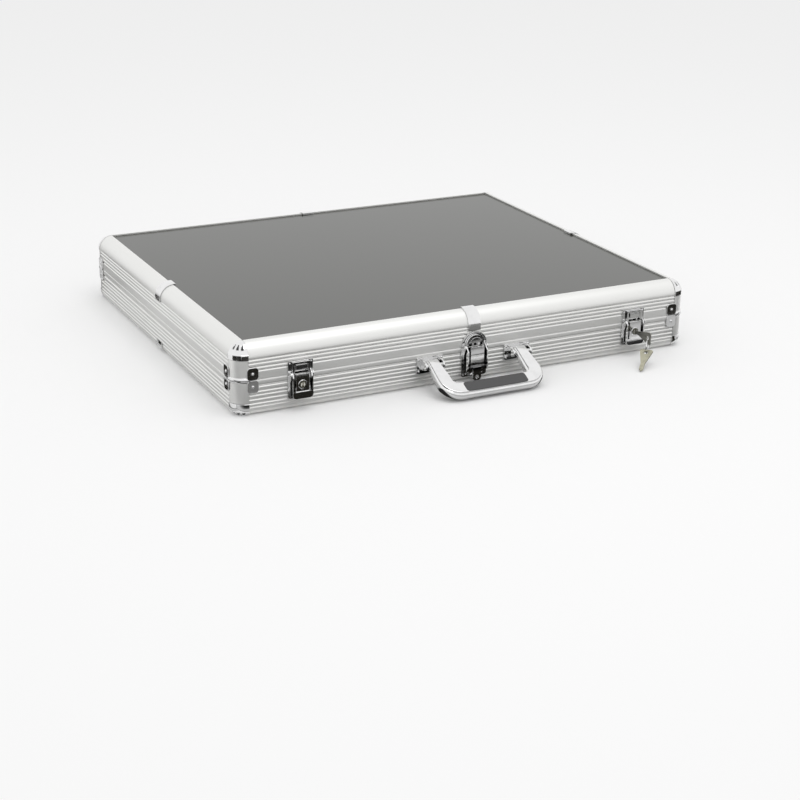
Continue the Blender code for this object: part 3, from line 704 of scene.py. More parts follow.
def soften(shape: bmesh.types.BMesh, width: float, segments: int = 2) -> bmesh.types.BMesh:
    """Round the sharp edges of a mesh.

    Args:
        shape: the mesh, which is changed.
        width: size of the rounding.
        segments: spans across it.

    Returns:
        The same mesh.
    """
    bmesh.ops.recalc_face_normals(shape, faces=shape.faces)
    sharp = [edge for edge in shape.edges if edge.is_manifold and edge.calc_face_angle() > EDGE_ANGLE]
    bmesh.ops.bevel(
        shape, geom=sharp, offset=width, segments=segments, profile=ROUND_PROFILE, affect="EDGES",
        clamp_overlap=True)
    return shape


def node_copy(node: str) -> bmesh.types.BMesh:
    """Copy a CAD node's mesh, merge it and join its flat faces.

    Args:
        node: name of the node.

    Returns:
        The copy.
    """
    shape = bmesh.new()
    shape.from_mesh(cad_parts[node].data)
    bmesh.ops.remove_doubles(shape, verts=shape.verts, dist=MERGE)
    bmesh.ops.dissolve_limit(shape, angle_limit=FLAT_ANGLE, verts=shape.verts, edges=shape.edges)
    return shape


def refined(node: str, finish: Finish, part: Part, edge: float) -> bpy.types.Object:
    """Replace a CAD node by its own shape with rounded edges.

    Args:
        node: name of the node.
        finish: finish of the piece.
        part: body and slot of the piece.
        edge: size of the rounding.

    Returns:
        The piece.
    """
    piece = new_object(f"{node}_fine", soften(node_copy(node), edge), finish)
    return Part(part.body, part.slot, (node,)).take(piece)


@dataclass
class Shell:
    """Ribbed extrusions, corner posts with brackets and caps, straps, window, board and lining."""

    lid_grooves: tuple[float, ...] = (53.7 * MM, 58.0 * MM, 62.8 * MM, 67.0 * MM)
    base_grooves: tuple[float, ...] = (10.8 * MM, 15.1 * MM, 20.0 * MM, 25.0 * MM, 29.3 * MM, 34.8 * MM)
    groove_depth: float = 0.9 * MM
    groove_half: float = 1.5 * MM
    bead_rise: float = 0.7 * MM
    bead_foot: float = 35.8 * MM
    bead_steps: int = 16
    bead_power: int = 4
    rib_step: float = 0.25 * MM
    window_top: float = 83.9 * MM
    window_thick: float = 3.6 * MM
    window_bite: float = 3.5 * MM
    window_edge: float = 0.3 * MM
    ledge: float = 2 * MM
    lid_cove: float = 10 * MM
    bottom_round: float = 9.8 * MM
    board_thick: float = 4.8 * MM
    board_lip: float = 1.5 * MM
    board_bite: float = 4.5 * MM
    board_edge: float = 0.2 * MM
    bottom_ledge: float = 1.9 * MM
    bottom_cove: float = 5 * MM
    tongue_face: float = 2.2 * MM
    tongue_top: float = 45.6 * MM
    cap_proud: float = 0.6 * MM
    cap_foot: float = 66.9 * MM
    cap_top: float = 15 * MM
    bracket_thick: float = 1.1 * MM
    band_half: float = 3.2 * MM
    band_start: float = 12.0
    band_steps: int = 8
    tab_near: float = 15 * MM
    tab_far: float = 29 * MM
    tab_reach: float = 15 * MM
    tab_round: float = 4 * MM
    tab_edge: float = 0.45 * MM
    tab_edge_steps: int = 3
    tab_rivet: Point = (1.7 * MM, 0.9 * MM)
    strap_half: float = 8.25 * MM
    strap_thick: float = 0.8 * MM
    strap_hook: float = 2.5 * MM
    strap_foot: float = 66 * MM
    front_strap_foot: float = 62.6 * MM
    strap_top: float = 14 * MM
    strap_steps: int = 40
    foot_strap_end: float = 230.0
    foot_strap_steps: int = 16
    turn_steps: int = 72
    dome_steps: int = 48
    collar_top: float = 73.4 * MM
    claw_cut: float = 1.6 * MM
    claw_width: float = 0.08
    claw_tip: float = 0.35
    claw_span: Point = (0.56, 0.84)
    claw_middles: tuple[float, ...] = (0.24, 0.5, 0.76)

    def rib(self, height: float, grooves: Iterable[float]) -> float:
        """Find how far the outer face stands in.

        Args:
            height: height on the face.
            grooves: heights of the grooves.

        Returns:
            The depth.
        """
        inward = 0.0
        for groove in grooves:
            share = abs(height - groove) / self.groove_half
            if share < 1.0:
                inward = max(inward, self.groove_depth * (0.5 + 0.5 * math.cos(math.pi * share)))
        return inward

    def ribbed(self, foot: float, top: float, grooves: Iterable[float]) -> list[Point]:
        """Points of a ribbed outer face, from the foot up.

        Args:
            foot: lowest height.
            top: highest height.
            grooves: heights of the grooves.

        Returns:
            The points as (inwards, up).
        """
        count = round((top - foot) / self.rib_step)
        heights = [foot + (top - foot) * step / count for step in range(count + 1)]
        return [(self.rib(height, grooves), height) for height in heights]

    def top_rail(self, reach: float, steps: int = 24) -> list[Point]:
        """Outer round of the top rail, the window's groove and the cove down to the wall.

        Args:
            reach: how far in the rail goes.
            steps: spans in its round.

        Returns:
            The points as (inwards, up).
        """
        rise = CASE.height - CASE.rail_foot
        groove_top = self.window_top + CASE.gap
        groove_foot = self.window_top - self.window_thick - CASE.gap
        bite = CASE.rail - self.window_bite
        ledge = groove_foot - self.ledge
        outer = arc((CASE.rail, CASE.rail_foot), (CASE.rail, rise), 180, 90, steps)[1:-1]
        inner = [(reach, CASE.height), (reach, groove_top), (bite, groove_top), (bite, groove_foot)]
        return outer + inner + [(reach, groove_foot), (reach, ledge), (CASE.wall, ledge - self.lid_cove)]

    def bottom_rail(self, reach: float, steps: int = 14) -> list[Point]:
        """Inner side of the bottom rail from the wall to the floor, then its outer round.

        Args:
            reach: how far in the rail goes.
            steps: spans in its round.

        Returns:
            The points as (inwards, up).
        """
        groove_top = self.board_thick + CASE.gap
        ledge = groove_top + self.bottom_ledge
        bite = CASE.rail - self.board_bite
        inner = [(CASE.wall, ledge + self.bottom_cove), (reach, ledge), (reach, groove_top)]
        inner += [(bite, groove_top), (bite, self.board_lip), (reach, self.board_lip), (reach, 0.0)]
        radius = self.bottom_round
        return inner + arc((radius, radius), (radius, radius), 270, 180, steps)

    def lid_section(self) -> list[Point]:
        """Section of a lid side.

        Returns:
            The points as (inwards, up).
        """
        seat = CASE.parting + CASE.gap / 2
        rebate = self.tongue_face - CASE.gap
        rise = self.tongue_top + CASE.gap
        foot = [(CASE.wall, rise), (rebate, rise), (rebate, seat)]
        return foot + self.ribbed(seat, CASE.rail_foot, self.lid_grooves) + self.top_rail(CASE.rail)

    def base_section(self) -> list[Point]:
        """Section of a base side.

        Returns:
            The points as (inwards, up).
        """
        seat = CASE.parting - CASE.gap / 2
        face = self.ribbed(self.bottom_round + self.rib_step, self.bead_foot, self.base_grooves)
        bead = []
        for step in range(1, self.bead_steps + 1):
            share = step / self.bead_steps
            inward = self.bead_rise * (2 * share - 1) ** self.bead_power
            bead.append((inward, self.bead_foot + (seat - self.bead_foot) * share))
        tongue = [(self.tongue_face, seat), (self.tongue_face, self.tongue_top)]
        tongue += [(CASE.wall, self.tongue_top)]
        return self.bottom_rail(CASE.rail) + face + bead + tongue

    def build_sides(self) -> None:
        """Ribbed extrusions of the lid and the base."""
        for side in Side:
            axis = side.value[0]
            length = CASE.width if axis is Axis.X else CASE.depth
            half = length / 2 - CASE.rail - CASE.gap
            finish = ALUMINIUM_X if axis is Axis.X else ALUMINIUM_Y
            for body, section in (("lid", self.lid_section()), ("base", self.base_section())):
                name = f"{body}_side_{side.name}"
                shape = prism(section, side_place(side), -half, half)
                Part(body, "aluminium", (name,)).take(new_object(f"{name}_ribbed", shape, finish))

    def turned(self, section: Sequence[Point], corner: Corner, proud: float) -> bmesh.types.BMesh:
        """Sweep a section round a corner of the case.

        Args:
            section: (inwards, up) points.
            corner: which corner.
            proud: how far the section stands out.

        Returns:
            A closed mesh.
        """
        right, back = corner.value
        centre = corner_axis(corner)
        shape = bmesh.new()
        reach = CASE.rail + proud
        outline = [shape.verts.new(centre + Vector((right * (reach - a), 0.0, b))) for a, b in section]
        face = shape.faces.new(outline)
        bmesh.ops.spin(
            shape, geom=[face, *face.edges, *face.verts], cent=centre, axis=(0, 0, 1),
            angle=math.pi / 2 * right * back, steps=self.turn_steps, use_duplicate=False)
        return shape

    def corner_face(self, corner: Corner, turned: bool) -> Place:
        """Find where things lie on a face beside a corner.

        Args:
            corner: which corner.
            turned: whether the face is on the left or right side.

        Returns:
            A place that takes along from the corner, up and inwards.
        """
        right, back = corner.value

        def place(along: float, up: float, inward: float) -> Spot:
            """Return the spot on the case."""
            near, far = (inward, along) if turned else (along, inward)
            return right * (CASE.width / 2 - near), back * (CASE.depth / 2 - far), up

        return place

    def build_posts(self) -> None:
        """Satin corner posts with their chrome parting brackets."""
        lid_foot = CASE.parting + CASE.gap / 2
        base_top = CASE.parting - CASE.gap / 2
        rebate = self.tongue_face - CASE.gap
        rise = self.tongue_top + CASE.gap
        post_top = self.cap_foot - CASE.gap
        post_foot = self.cap_top + CASE.gap
        lid_post = [(CASE.wall, rise), (rebate, rise), (rebate, lid_foot)]
        lid_post += [(0.0, lid_foot), (0.0, post_top), (CASE.wall, post_top)]
        base_post = [(CASE.wall, post_foot), (0.0, post_foot), (0.0, base_top), (self.tongue_face, base_top)]
        base_post += [(self.tongue_face, self.tongue_top), (CASE.wall, self.tongue_top)]
        for corner in Corner:
            for body, section in (("lid", lid_post), ("base", base_post)):
                node = f"{body}_corner_{corner.name}"
                shape = self.turned(section, corner, 0.0)
                post = new_object(f"{body}_post_{corner.name}", shape, ALUMINIUM_X)
                Part(body, "aluminium", (node,)).take(post)
                self.build_bracket(corner, body, node)

    def build_bracket(self, corner: Corner, body: str, node: str) -> None:
        """Chrome band round a corner with two riveted tabs.

        Args:
            corner: which corner.
            body: lid or base.
            node: CAD node that the bracket is part of.
        """
        sign = 1 if body == "lid" else -1
        seat = CASE.parting + sign * CASE.gap / 2
        outer = CASE.gap + self.bracket_thick
        band = [(0.0, seat), (-outer, seat)]
        bend = arc((0, 0), (outer, self.band_half), self.band_start, 90, self.band_steps)
        band += [(-a, seat + sign * b) for a, b in bend]
        shape = self.turned(band, corner, 0.0)
        middle = (self.tab_near + self.tab_far) / 2
        half = ((self.tab_far - self.tab_near) / 2, self.tab_reach / 2)
        tab = rounded_rectangle((middle, seat + sign * half[1]), half, self.tab_round)
        for turned in (False, True):
            place = self.corner_face(corner, turned)
            plate = soften(prism(tab, place, -outer, -CASE.gap), self.tab_edge, self.tab_edge_steps)
            arm = prism(band, self.swapped(place), CASE.rail, self.tab_near + self.tab_round)
            for extra in (plate, arm):
                self.merge(shape, extra)
        piece = new_object(f"{body}_bracket_{corner.name}", shape, CHROME)
        Part(body, "chrome", (node,)).take(piece)

    @staticmethod
    def swapped(place: Place) -> Place:
        """Place with its first and third directions exchanged."""
        return lambda inward, up, along: place(along, up, inward)

    @staticmethod
    def merge(shape: bmesh.types.BMesh, extra: bmesh.types.BMesh) -> None:
        """Add one mesh to another and free it."""
        carrier = bpy.data.meshes.new("carrier")
        extra.to_mesh(carrier)
        extra.free()
        shape.from_mesh(carrier)
        bpy.data.meshes.remove(carrier)

    def claw_depth(self, turn: float, rise: float) -> float:
        """Find how deep a cap is cut between its claws.

        Args:
            turn: share of the way round the corner.
            rise: share of the way up the dome.

        Returns:
            The depth.
        """
        low, high = self.claw_span
        if not low < rise < high:
            return 0.0
        width = self.claw_width * (self.claw_tip + (1 - self.claw_tip) * (high - rise) / (high - low))
        nearest = min(abs(turn - middle) for middle in self.claw_middles)
        return self.claw_cut if nearest < width else 0.0

    def inset(self, body: str, height: float) -> float:
        """Find how far a cap's outer round stands in.

        Args:
            body: lid or base.
            height: height on the cap.

        Returns:
            The depth.
        """
        if body == "lid":
            reach = CASE.rail
            share = max(0.0, height - CASE.rail_foot) / (CASE.height - CASE.rail_foot)
        else:
            reach = self.bottom_round
            share = max(0.0, self.bottom_round - height) / self.bottom_round
        return reach * (1 - math.sqrt(max(0.0, 1 - share * share)))

    def clawed(self, shape: bmesh.types.BMesh, corner: Corner, body: str) -> bmesh.types.BMesh:
        """Cut the gaps between the claws into a cap's dome and give their floors a black material as painted
        shade.

        Args:
            shape: the cap, which is changed.
            corner: which corner it covers.
            body: lid or base.

        Returns:
            The same mesh.
        """
        axis = corner_axis(corner)
        foot, top = (CASE.rail_foot, CASE.height) if body == "lid" else (self.bottom_round, 0.0)
        sunk_and_shaded = set()
        for vertex in shape.verts:
            height = vertex.co.z
            spoke = vertex.co - axis
            spoke.z = 0.0
            turn = math.atan2(abs(spoke.y), abs(spoke.x)) / (math.pi / 2)
            depth = self.claw_depth(turn, (height - foot) / (top - foot))
            inset = CASE.rail + self.cap_proud - spoke.length
            if depth and abs(inset - self.inset(body, height)) < self.cap_proud:
                vertex.co -= spoke.normalized() * depth
                sunk_and_shaded.add(vertex)
        # Painted shade: faces in the gaps take the second material, black board.
        for face in shape.faces:
            if all(vertex in sunk_and_shaded for vertex in face.verts):
                face.material_index = 1
        return shape

    def build_caps(self) -> None:
        """Chrome caps over the corners, with a collar and claws."""
        reach = CASE.rail - 2 * CASE.gap
        collar = self.collar_top
        dome = [point for point in self.top_rail(reach, self.dome_steps) if point[1] > collar + CASE.gap]
        dome += self.top_rail(reach)[-2:]
        top_cap = [(CASE.wall, self.cap_foot), (CASE.gap, self.cap_foot), (0.0, self.cap_foot + CASE.gap)]
        top_cap += [(0.0, collar - CASE.gap), (CASE.gap, collar)] + dome
        bottom_cap = [(CASE.gap, self.cap_top), (CASE.wall, self.cap_top)]
        bottom_cap += self.bottom_rail(reach, self.dome_steps) + [(0.0, self.cap_top - CASE.gap)]
        for corner in Corner:
            for body, section in (("lid", top_cap), ("base", bottom_cap)):
                node = f"{body}_cap_{corner.name}"
                shape = self.turned(section, corner, self.cap_proud)
                made = new_object(f"{node}_domed", self.clawed(shape, corner, body), CHROME)
                # Black board as the second material: painted shade on the floors of the claw gaps.
                made.data.materials.append(BOARD.material())
                Part(body, "chrome", (node,)).take(made)

    def tab_rivets(self, body: str) -> None:
        """Rivet the parting brackets' tabs.

        Args:
            body: lid or base.
        """
        sign = 1 if body == "lid" else -1
        height = CASE.parting + sign * (CASE.gap / 2 + self.tab_reach / 2)
        along = (self.tab_near + self.tab_far) / 2
        rivets = []
        for corner in Corner:
            right, back = corner.value
            for turned in (False, True):
                spot = self.corner_face(corner, turned)(along, height, -CASE.gap - self.bracket_thick)
                facing = (right, 0.0, 0.0) if turned else (0.0, back, 0.0)
                rivets.append(Rivet(spot, facing))
        RivetRow(body, f"{body}_bracket_rivets", *self.tab_rivet, rivets).build()

    def lid_strap(self, foot: float) -> list[Point]:
        """Section of a strap over the top rail, hooked over the window.

        Args:
            foot: height of its lower end.

        Returns:
            The points as (inwards, up).
        """
        near, far = CASE.gap, CASE.gap + self.strap_thick
        middle = (CASE.rail, CASE.rail_foot)
        rise = CASE.height - CASE.rail_foot
        tip = CASE.rail + self.strap_hook
        low = self.window_top + 2 * CASE.gap
        inner = arc(middle, (CASE.rail + near, rise + near), 180, 90, self.strap_steps)
        outer = arc(middle, (CASE.rail + far, rise + far), 90, 180, self.strap_steps)
        hook = [(tip, CASE.height + near), (tip, low), (tip + self.strap_thick, low)]
        hook += [(tip + self.strap_thick, CASE.height + far - CASE.gap), (tip, CASE.height + far)]
        return [(-near, foot)] + inner + hook + outer + [(-far, foot + CASE.gap), (-far + CASE.gap, foot)]

    def base_strap(self) -> list[Point]:
        """Section of a strap round the bottom rail.

        Returns:
            The points as (inwards, up).
        """
        middle = (self.bottom_round, self.bottom_round)
        near = self.bottom_round + CASE.gap
        far = near + self.strap_thick
        inner = arc(middle, (near, near), 180, self.foot_strap_end, self.foot_strap_steps)
        outer = arc(middle, (far, far), self.foot_strap_end, 180, self.foot_strap_steps)
        outer += [(-CASE.gap - self.strap_thick, self.strap_top)]
        return [(-CASE.gap, self.strap_top)] + inner + outer

    def build_straps(self) -> None:
        """Joint straps at the middle of the sides."""
        for side in Side:
            foot = self.front_strap_foot if side is Side.front else self.strap_foot
            for body, section in (("lid", self.lid_strap(foot)), ("base", self.base_strap())):
                node = f"{body}_clip_{side.name}"
                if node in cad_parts:
                    shape = prism(section, side_place(side), -self.strap_half, self.strap_half)
                    Part(body, "chrome", (node,)).take(new_object(f"{node}_bent", shape, CHROME))

    def build_panels(self) -> None:
        """Window, bottom board and foam lining."""
        refined("lid_window", PANE, Part("lid", "smoked_window"), self.window_edge)
        refined("base_panel", BOARD, Part("base", "board"), self.board_edge)
        Lining().build()

    def build(self) -> None:
        """Build the whole shell."""
        self.build_sides()
        self.build_posts()
        self.build_caps()
        self.build_straps()
        self.build_panels()
        for body in ("lid", "base"):
            self.tab_rivets(body)


@dataclass
class Lining:
    """Foam pad in the tray, with soft rims and a slightly uneven top."""

    rim: float = 2.5 * MM
    columns: int = 84
    rows: int = 70
    wave: float = 0.25 * MM
    wave_turns: Point = (41.0, 37.0)
    wave_start: float = 1.3

    def top(self, x: float, y: float, low: Vector, high: Vector) -> float:
        """Find the height of the pad's top.

        Args:
            x: place across the tray.
            y: place along the tray.
            low: lowest corner of the pad.
            high: highest corner of the pad.

        Returns:
            The height.
        """
        edge = min(x - low.x, high.x - x, y - low.y, high.y - y)
        drop = self.rim * (1 - math.sqrt(max(0.0, 1 - max(0.0, 1 - edge / self.rim) ** 2)))
        across, along = self.wave_turns
        swell = math.sin(across * x + self.wave_start) * math.sin(along * y)
        return high.z - drop - self.wave * (1 + swell)

    def surface(self, shape: bmesh.types.BMesh, low: Vector, high: Vector) -> None:
        """Add the pad's top to a mesh.

        Args:
            shape: the mesh, which is changed.
            low: lowest corner of the pad.
            high: highest corner of the pad.
        """
        grid = []
        for row in range(self.rows + 1):
            y = low.y + (high.y - low.y) * row / self.rows
            line = []
            for column in range(self.columns + 1):
                x = low.x + (high.x - low.x) * column / self.columns
                line.append(shape.verts.new((x, y, self.top(x, y, low, high))))
            grid.append(line)
        for near, far in zip(grid, grid[1:]):
            for column in range(self.columns):
                shape.faces.new((near[column], near[column + 1], far[column + 1], far[column]))

    def build(self) -> None:
        """Build the pad in the CAD lining's place."""
        low, high = (Vector(point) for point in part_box("base_lining"))
        shape = bmesh.new()
        self.surface(shape, low, high)
        rims = [edge for edge in shape.edges if edge.is_boundary]
        walls = bmesh.ops.extrude_edge_only(shape, edges=rims)["geom"]
        for item in walls:
            if isinstance(item, bmesh.types.BMVert):
                item.co.z = low.z
        bottom = [item for item in walls if isinstance(item, bmesh.types.BMEdge) and item.is_boundary]
        bmesh.ops.contextual_create(shape, geom=bottom)
        pad = Part("base", "foam", ("base_lining",)).take(new_object("foam_lining", shape, FOAM))


@dataclass(frozen=True)
class Rivet:
    """Place of a rivet head: its foot and the direction that it faces."""

    foot: Spot
    facing: Spot


@dataclass
class RivetRow:
    """Rivet heads of one body, set out by a Geometry Nodes tree."""

    body: str
    name: str
    radius: float
    rise: float
    rivets: list[Rivet]
    flange: float = 1.35
    flange_share: float = 0.5
    sides: int = 20
    rings: int = 10

    def points(self) -> bpy.types.Object:
        """Put a loose vertex at each rivet, with its direction as an attribute.

        Returns:
            The object that holds them.
        """
        mesh = bpy.data.meshes.new(self.name)
        mesh.from_pydata([rivet.foot for rivet in self.rivets], [], [])
        facing = mesh.attributes.new("facing", "FLOAT_VECTOR", "POINT")
        for place, rivet in zip(facing.data, self.rivets):
            place.vector = rivet.facing
        made = bpy.data.objects.new(self.name, mesh)
        bpy.context.scene.collection.objects.link(made)
        return made

    def tree(self) -> bpy.types.NodeTree:
        """Build the tree that puts a domed head with a flange on each point.

        Returns:
            The tree.
        """
        group = bpy.data.node_groups.new(f"{self.name}_tree", "GeometryNodeTree")
        for label, kind in (("Geometry", "NodeSocketGeometry"), ("Radius", "NodeSocketFloat"),
                            ("Rise", "NodeSocketFloat"), ("Metal", "NodeSocketMaterial")):
            group.interface.new_socket(label, in_out="INPUT", socket_type=kind)
        group.interface.new_socket("Geometry", in_out="OUTPUT", socket_type="NodeSocketGeometry")
        nodes = Nodes(group)
        given = nodes.add("NodeGroupInput")
        radius, rise = given.out("Radius"), given.out("Rise")
        size = nodes.add("ShaderNodeCombineXYZ", None, {"X": radius, "Y": radius, "Z": rise}).out()
        ball = {"Segments": self.sides, "Rings": self.rings, "Radius": 1.0}
        dome = nodes.add("GeometryNodeMeshUVSphere", None, ball).out("Mesh")
        dome = nodes.add("GeometryNodeTransform", None, {"Geometry": dome, "Scale": size}).out()
        plate = {"Vertices": self.sides, "Radius": radius * self.flange, "Depth": rise * self.flange_share}
        washer = nodes.add("GeometryNodeMeshCylinder", None, plate).out("Mesh")
        joined = nodes.add("GeometryNodeJoinGeometry")
        for part in (washer, dome):
            group.links.new(part.output, joined.node.inputs[0])
        vector = {"data_type": "FLOAT_VECTOR"}
        facing = nodes.add("GeometryNodeInputNamedAttribute", vector, {"Name": "facing"}).out(0)
        turn = nodes.add("FunctionNodeAlignRotationToVector", {"axis": "Z"}, {"Vector": facing}).out()
        spots = nodes.add("GeometryNodeMeshToPoints", None, {"Mesh": given.out("Geometry")}).out()
        inputs = {"Points": spots, "Instance": joined.out(), "Rotation": turn}
        placed = nodes.add("GeometryNodeInstanceOnPoints", None, inputs).out()
        solid = nodes.add("GeometryNodeRealizeInstances", None, {"Geometry": placed}).out()
        inputs = {"Geometry": solid, "Material": given.out("Metal")}
        clad = nodes.add("GeometryNodeSetMaterial", None, inputs).out()
        nodes.add("NodeGroupOutput", None, {"Geometry": clad})
        return group

    def build(self) -> bpy.types.Object:
        """Make the rivet heads one mesh.

        Returns:
            The piece.
        """
        made = self.points()
        modifier = made.modifiers.new("rivets", "NODES")
        modifier.node_group = self.tree()
        values = {"Radius": self.radius, "Rise": self.rise, "Metal": CHROME.material()}
        for item in modifier.node_group.interface.items_tree:
            if item.in_out == "INPUT" and item.name in values:
                modifier[item.identifier] = values[item.name]
        applied(made)
        made.data.shade_smooth()
        made.data.set_sharp_from_angle(angle=SMOOTH_ANGLE)
        return Part(self.body, "chrome").take(made)


@dataclass
class Hinges:
    """Two butt hinges on the back."""

    x: float = 190 * MM
    standoff: float = 1.7 * MM
    screw_xs: tuple[float, ...] = (-15 * MM, 0.0, 15 * MM)
    screw_reach: float = 13 * MM
    screw: Point = (1.7 * MM, 0.7 * MM)
    edge: float = 0.2 * MM

    def build(self) -> None:
        """Round the leaves' edges and put screws in them."""
        for body, sign in (("base", -1), ("lid", 1)):
            height = CASE.parting + sign * self.screw_reach
            screws = []
            for side, centre in (("left", -self.x), ("right", self.x)):
                refined(f"hinge_{side}_{body}_leaf", CHROME, Part(body, "chrome"), self.edge)
                for offset in self.screw_xs:
                    spot = (centre + offset, CASE.depth / 2 + self.standoff, height)
                    screws.append(Rivet(spot, BACKWARD))
            RivetRow(body, f"{body}_hinge_rivets", *self.screw, screws).build()


@dataclass
class Handle:
    """Cast handle with its inlay and brackets."""

    arm_x: float = 59 * MM
    pivot: Point = (11 * MM, 31 * MM)
    rest: float = math.radians(-24.5)
    arm_end: float = -5 * MM
    grip_at: float = 47 * MM
    bend: float = 15 * MM
    arm_half: float = 8.2 * MM
    bend_half: float = 10.5 * MM
    grip_half: float = 10.5 * MM
    arm_thick: float = 4.8 * MM
    bend_thick: float = 5.7 * MM
    grip_thick: float = 5.2 * MM
    arm_steps: int = 16
    bend_steps: int = 16
    grip_steps: int = 8
    grip_swell: float = 2.5
    section: tuple[Point, ...] = (
        (0.0, 1.0), (0.66, 1.0), (0.72, 0.96), (0.74, 0.88), (0.745, 0.64), (0.80, 0.59), (0.90, 0.51),
        (0.96, 0.38), (0.995, 0.10), (1.0, -0.20), (0.97, -0.60), (0.90, -0.95), (0.74, -1.22), (0.50, -1.3),
        (0.0, -1.3))
    grip_edge: float = 0.3 * MM
    bracket_edge: float = 0.25 * MM
    rivet_xs: tuple[float, ...] = (-15 * MM, 15 * MM)
    rivet_heights: tuple[float, ...] = (22 * MM, 36 * MM)
    rivet: Point = (1.5 * MM, 0.7 * MM)
    standoff: float = 1.6 * MM

    def place(self, across: float, along: float, off: float) -> Vector:
        """Find a point of the handle in the case.

        Args:
            across: along the case's front.
            along: out from the pivot.
            off: off the handle's middle plane.

        Returns:
            The point.
        """
        out = self.pivot[0] + along * math.cos(self.rest) - off * math.sin(self.rest)
        up = self.pivot[1] + along * math.sin(self.rest) + off * math.cos(self.rest)
        return Vector((across, CASE.front - out, up))

    def path(self) -> list[Station]:
        """Stations down one arm, along the grip and up the other arm.

        Returns:
            (across, along, direction, half width, half thickness) of each station.
        """
        turn = self.grip_at - self.bend
        stations = []
        for step in range(self.arm_steps + 1):
            share = step / self.arm_steps
            along = self.arm_end + (turn - self.arm_end) * share
            swell = share * share * (3 - 2 * share)
            half = self.arm_half + (self.bend_half - self.arm_half) * swell
            thick = self.arm_thick + (self.bend_thick - self.arm_thick) * swell
            stations.append((-self.arm_x, along, math.pi / 2, half, thick))
        for step in range(1, self.bend_steps + 1):
            angle = math.pi / 2 * step / self.bend_steps
            across = -self.arm_x + self.bend * (1 - math.cos(angle))
            along = turn + self.bend * math.sin(angle)
            stations.append((across, along, math.pi / 2 - angle, self.bend_half, self.bend_thick))
        inner = self.arm_x - self.bend
        for step in range(1, self.grip_steps + 1):
            share = step / self.grip_steps
            swell = min(1.0, self.grip_swell * share)
            half = self.bend_half + (self.grip_half - self.bend_half) * swell
            thick = self.bend_thick + (self.grip_thick - self.bend_thick) * swell
            stations.append((-inner * (1 - share), self.grip_at, 0.0, half, thick))
        back = stations[-2::-1]
        mirror = [(-across, along, -direction, *size) for across, along, direction, *size in back]
        return stations + mirror

    def ring(self, station: Station) -> list[Vector]:
        """Points round the handle, with a step below its top face.

        Args:
            station: where the ring is.

        Returns:
            The points.
        """
        across, along, direction, half, thick = station
        side = (math.sin(direction), -math.cos(direction))
        outline = list(self.section) + [(-wide, off) for wide, off in self.section[-2:0:-1]]
        points = []
        for share, off in outline:
            wide = share * half
            points.append(self.place(across + side[0] * wide, along + side[1] * wide, off * thick))
        return points

    def build_frame(self) -> None:
        """Loft the handle along its path."""
        shape = bmesh.new()
        rings = [[shape.verts.new(point) for point in self.ring(station)] for station in self.path()]
        for near, far in zip(rings, rings[1:]):
            for step in range(len(near)):
                shape.faces.new((near[step - 1], near[step], far[step], far[step - 1]))
        shape.faces.new(rings[0])
        shape.faces.new(rings[-1])
        Part("handle", "chrome", ("handle_frame",)).take(new_object("handle_cast", shape, CHROME))

    def build(self) -> None:
        """Build the handle and rivet its brackets."""
        self.build_frame()
        refined("handle_grip", INLAY, Part("handle", "inlay"), self.grip_edge)
        rivets = []
        for side, centre in (("left", -self.arm_x), ("right", self.arm_x)):
            refined(f"handle_bracket_{side}", CHROME, Part("base", "chrome"), self.bracket_edge)
            for offset in self.rivet_xs:
                for height in self.rivet_heights:
                    spot = (centre + offset, CASE.front - self.standoff, height)
                    rivets.append(Rivet(spot, FORWARD))
        RivetRow("base", "handle_rivets", *self.rivet, rivets).build()


class LatchKind(Enum):
    """Latches by name, with the middle of each."""

    left = -225 * MM
    right = 225 * MM
    centre = 0.0


@dataclass
class Latch:
    """Draw latch: base plate, lever, bail and keeper."""

    kind: LatchKind
    edge: float = 0.25 * MM
    standoff: float = 1.5 * MM
    rivet_radius: float = 1.1 * MM
    rivet_rise: float = 0.6 * MM

    def place(self, across: float, up: float, out: float) -> Spot:
        """Place on the case's front: across from the latch's middle, up and outwards."""
        return self.kind.value + across, CASE.front - out, up

    def rivets(self, body: str, spots: Sequence[Point]) -> None:
        """Set rivets on a plate.

        Args:
            body: what the plate is fixed to.
            spots: (across, up) places from the latch's middle.
        """
        placed = [Rivet(self.place(across, up, self.standoff), FORWARD) for across, up in spots]
        name = f"latch_{self.kind.name}_{body}_rivets"
        RivetRow(body, name, self.rivet_radius, self.rivet_rise, placed).build()

    def build(self) -> None:
        """Round the edges of the pieces that every latch has."""
        name = self.kind.name
        refined(f"latch_{name}_base_plate", CHROME, Part("base", "chrome"), self.edge)
        refined(f"latch_{name}_keeper", CHROME, Part("lid", "chrome"), self.edge)
        refined(f"latch_{name}_lever", CHROME, Part(f"{name}_lever", "chrome"), self.edge)
        refined(f"latch_{name}_bail", CHROME, Part(f"{name}_bail", "chrome"), 2 * self.edge)


